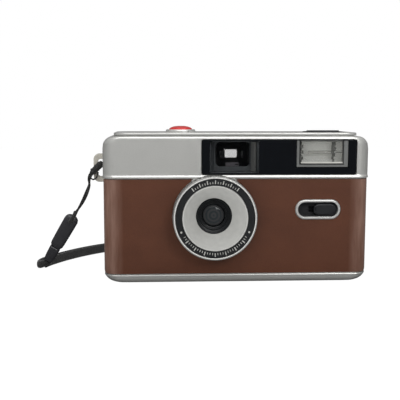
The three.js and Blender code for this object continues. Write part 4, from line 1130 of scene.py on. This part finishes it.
def base_pieces():
    """The battery door with its hinge roll, catch and grip lines, and the screws and button beside it."""
    x0, x1, y0, y1 = 10.7, 23.5, -13.3, -1.1
    door = pad(x0 + 0.75, x1, y0, y1, 0.5, 0.15, 1.35, "z", 0.2)
    join(door, rod((x0 + 0.75, 0.9), 0.75, y0, y1, "y", 32), block(x1 - 3, x1 - 1.5, y0 + 3, y1 - 3, 1.3, 2.1))
    cut(door, *[block(x1 - 2.2 - i, x1 - 1.7 - i, y0 + 3, y1 - 3, 0, 0.35) for i in range(4)])
    stands_for(door, "battery_door", angle=35)
    for node in ("base_screw_left", "base_screw_right", "rewind_release_button"):
        refined(node, 0.08)


lens_pieces()
finder_pieces()
flash_pieces()
switch_pieces()
top_pieces()
strap_lug()
rear_cover()
back_door()
knuckles("door_knuckles", ((18.4, 21.6), (32.4, 35.6)), 11.5, 13.2, "back_door")
thumb_pad()
window_rim()
door_latch()
base_pieces()
for part, edge in (("chassis", 0.1), ("take_up_spool", 0.1), ("sprocket_shaft", 0.06), ("idler_gear", 0.04),
                   ("pressure_plate", 0.12), ("film_window", 0.1), ("circuit_board", 0.06), ("rewind_fork", 0.08),
                   ("rewind_bush", 0.06), ("ready_lamp", 0.15), ("counter_dial", 0.06), ("flash_capacitor", 0.2)):
    refined(part, edge)


# ---- stage
def make_world():
    """A pale dome that is darker low down, seen as plain white."""
    sky = Nodes("studio", world=True)
    bpy.context.scene.world = sky.owner
    height = sky.node("SeparateXYZ", {"Vector": sky.place["Generated"]}).outputs["Z"]
    glow = sky.ramp(height, [(0.0, (0.16, 0.16, 0.165)), (0.25, (0.30, 0.30, 0.31)), (0.75, (1.0, 1.0, 1.0))])
    sky.set(Color=glow, Strength=0.45)
    white = sky.node("Background", {"Color": (1, 1, 1)}).outputs[0]
    seen = sky.node("LightPath").outputs["Is Camera Ray"]
    shown = sky.mix_shader(seen, sky.shader.outputs[0], white)
    sky.link(shown, sky.tree.nodes["World Output"].inputs["Surface"])


def make_floor():
    """White where it is seen, dull in reflections, with a painted bounce light from below that fades to a painted
    shadow near the camera's foot.
    """
    left, right, near, far, z = -900, 900, -345, 1200, -0.05
    floor = mesh_object([(left, near, z), (right, near, z), (right, far, z), (left, far, z)], [(0, 1, 2, 3)])
    floor.name = floor.data.name = "floor"
    m = Nodes("pale_floor")
    m.set(Base_Color=(0.1, 0.1, 0.1), Roughness=0.9, Specular_IOR_Level=0.0, Emission_Color=(1, 1, 1),
          Emission_Strength=1.0)
    rays = m.node("LightPath").outputs
    dull = m.node("BsdfDiffuse", {"Color": (0.10, 0.10, 0.10)}).outputs[0]
    # Painted contact shadow: the bounce light is weak where |y| is under 18 mm and full beyond 50 mm.
    from_body = m.maths("ABSOLUTE", m.axis("Y"))
    bounce = m.node("Emission", {"Strength": m.span(from_body, 0.14, 0.92, 0.018, 0.050)}).outputs[0]
    unseen = m.mix_shader(rays["Is Diffuse Ray"], dull, bounce)
    above = m.mix_shader(rays["Is Camera Ray"], unseen, m.shader.outputs[0])
    below = m.node("BsdfTransparent").outputs[0]
    either = m.mix_shader(m.node("NewGeometry").outputs["Backfacing"], above, below)
    m.link(either, m.tree.nodes["Material Output"].inputs["Surface"])
    floor.data.materials.append(m.owner)


def make_lights():
    for name, at, size, power, matt, glossy in (
        ("softbox_top", (0.05, -0.10, 0.75), 0.9, 1.0, True, True),
        ("softbox_top_sheen", (0.05, -0.33, 0.75), 0.9, 5.0, False, True),
        ("softbox_front", (0.30, -0.62, 0.40), 0.26, 1.3, True, True),
        ("softbox_left", (-0.75, -1.22, 0.12), 1.5, 10.4, True, False),
    ):
        light = linked(bpy.data.lights.new(name, "AREA"), name)
        light.data.size, light.data.energy = size, power
        light.location = at
        light.rotation_euler = (Vector((0, 0, 0.03)) - Vector(at)).to_track_quat("-Z", "Y").to_euler()
        light.visible_diffuse, light.visible_glossy = matt, glossy


def paint_remaining():
    """CAD nodes whose shape is right as it is get their procedural material."""
    for node, obj in frame["nodes"].items():
        if not obj.hide_render:
            paint(obj, SLOT_OF[node])


make_world()
make_floor()
make_lights()
bpy.context.scene.view_settings.view_transform = "Standard"
paint_remaining()
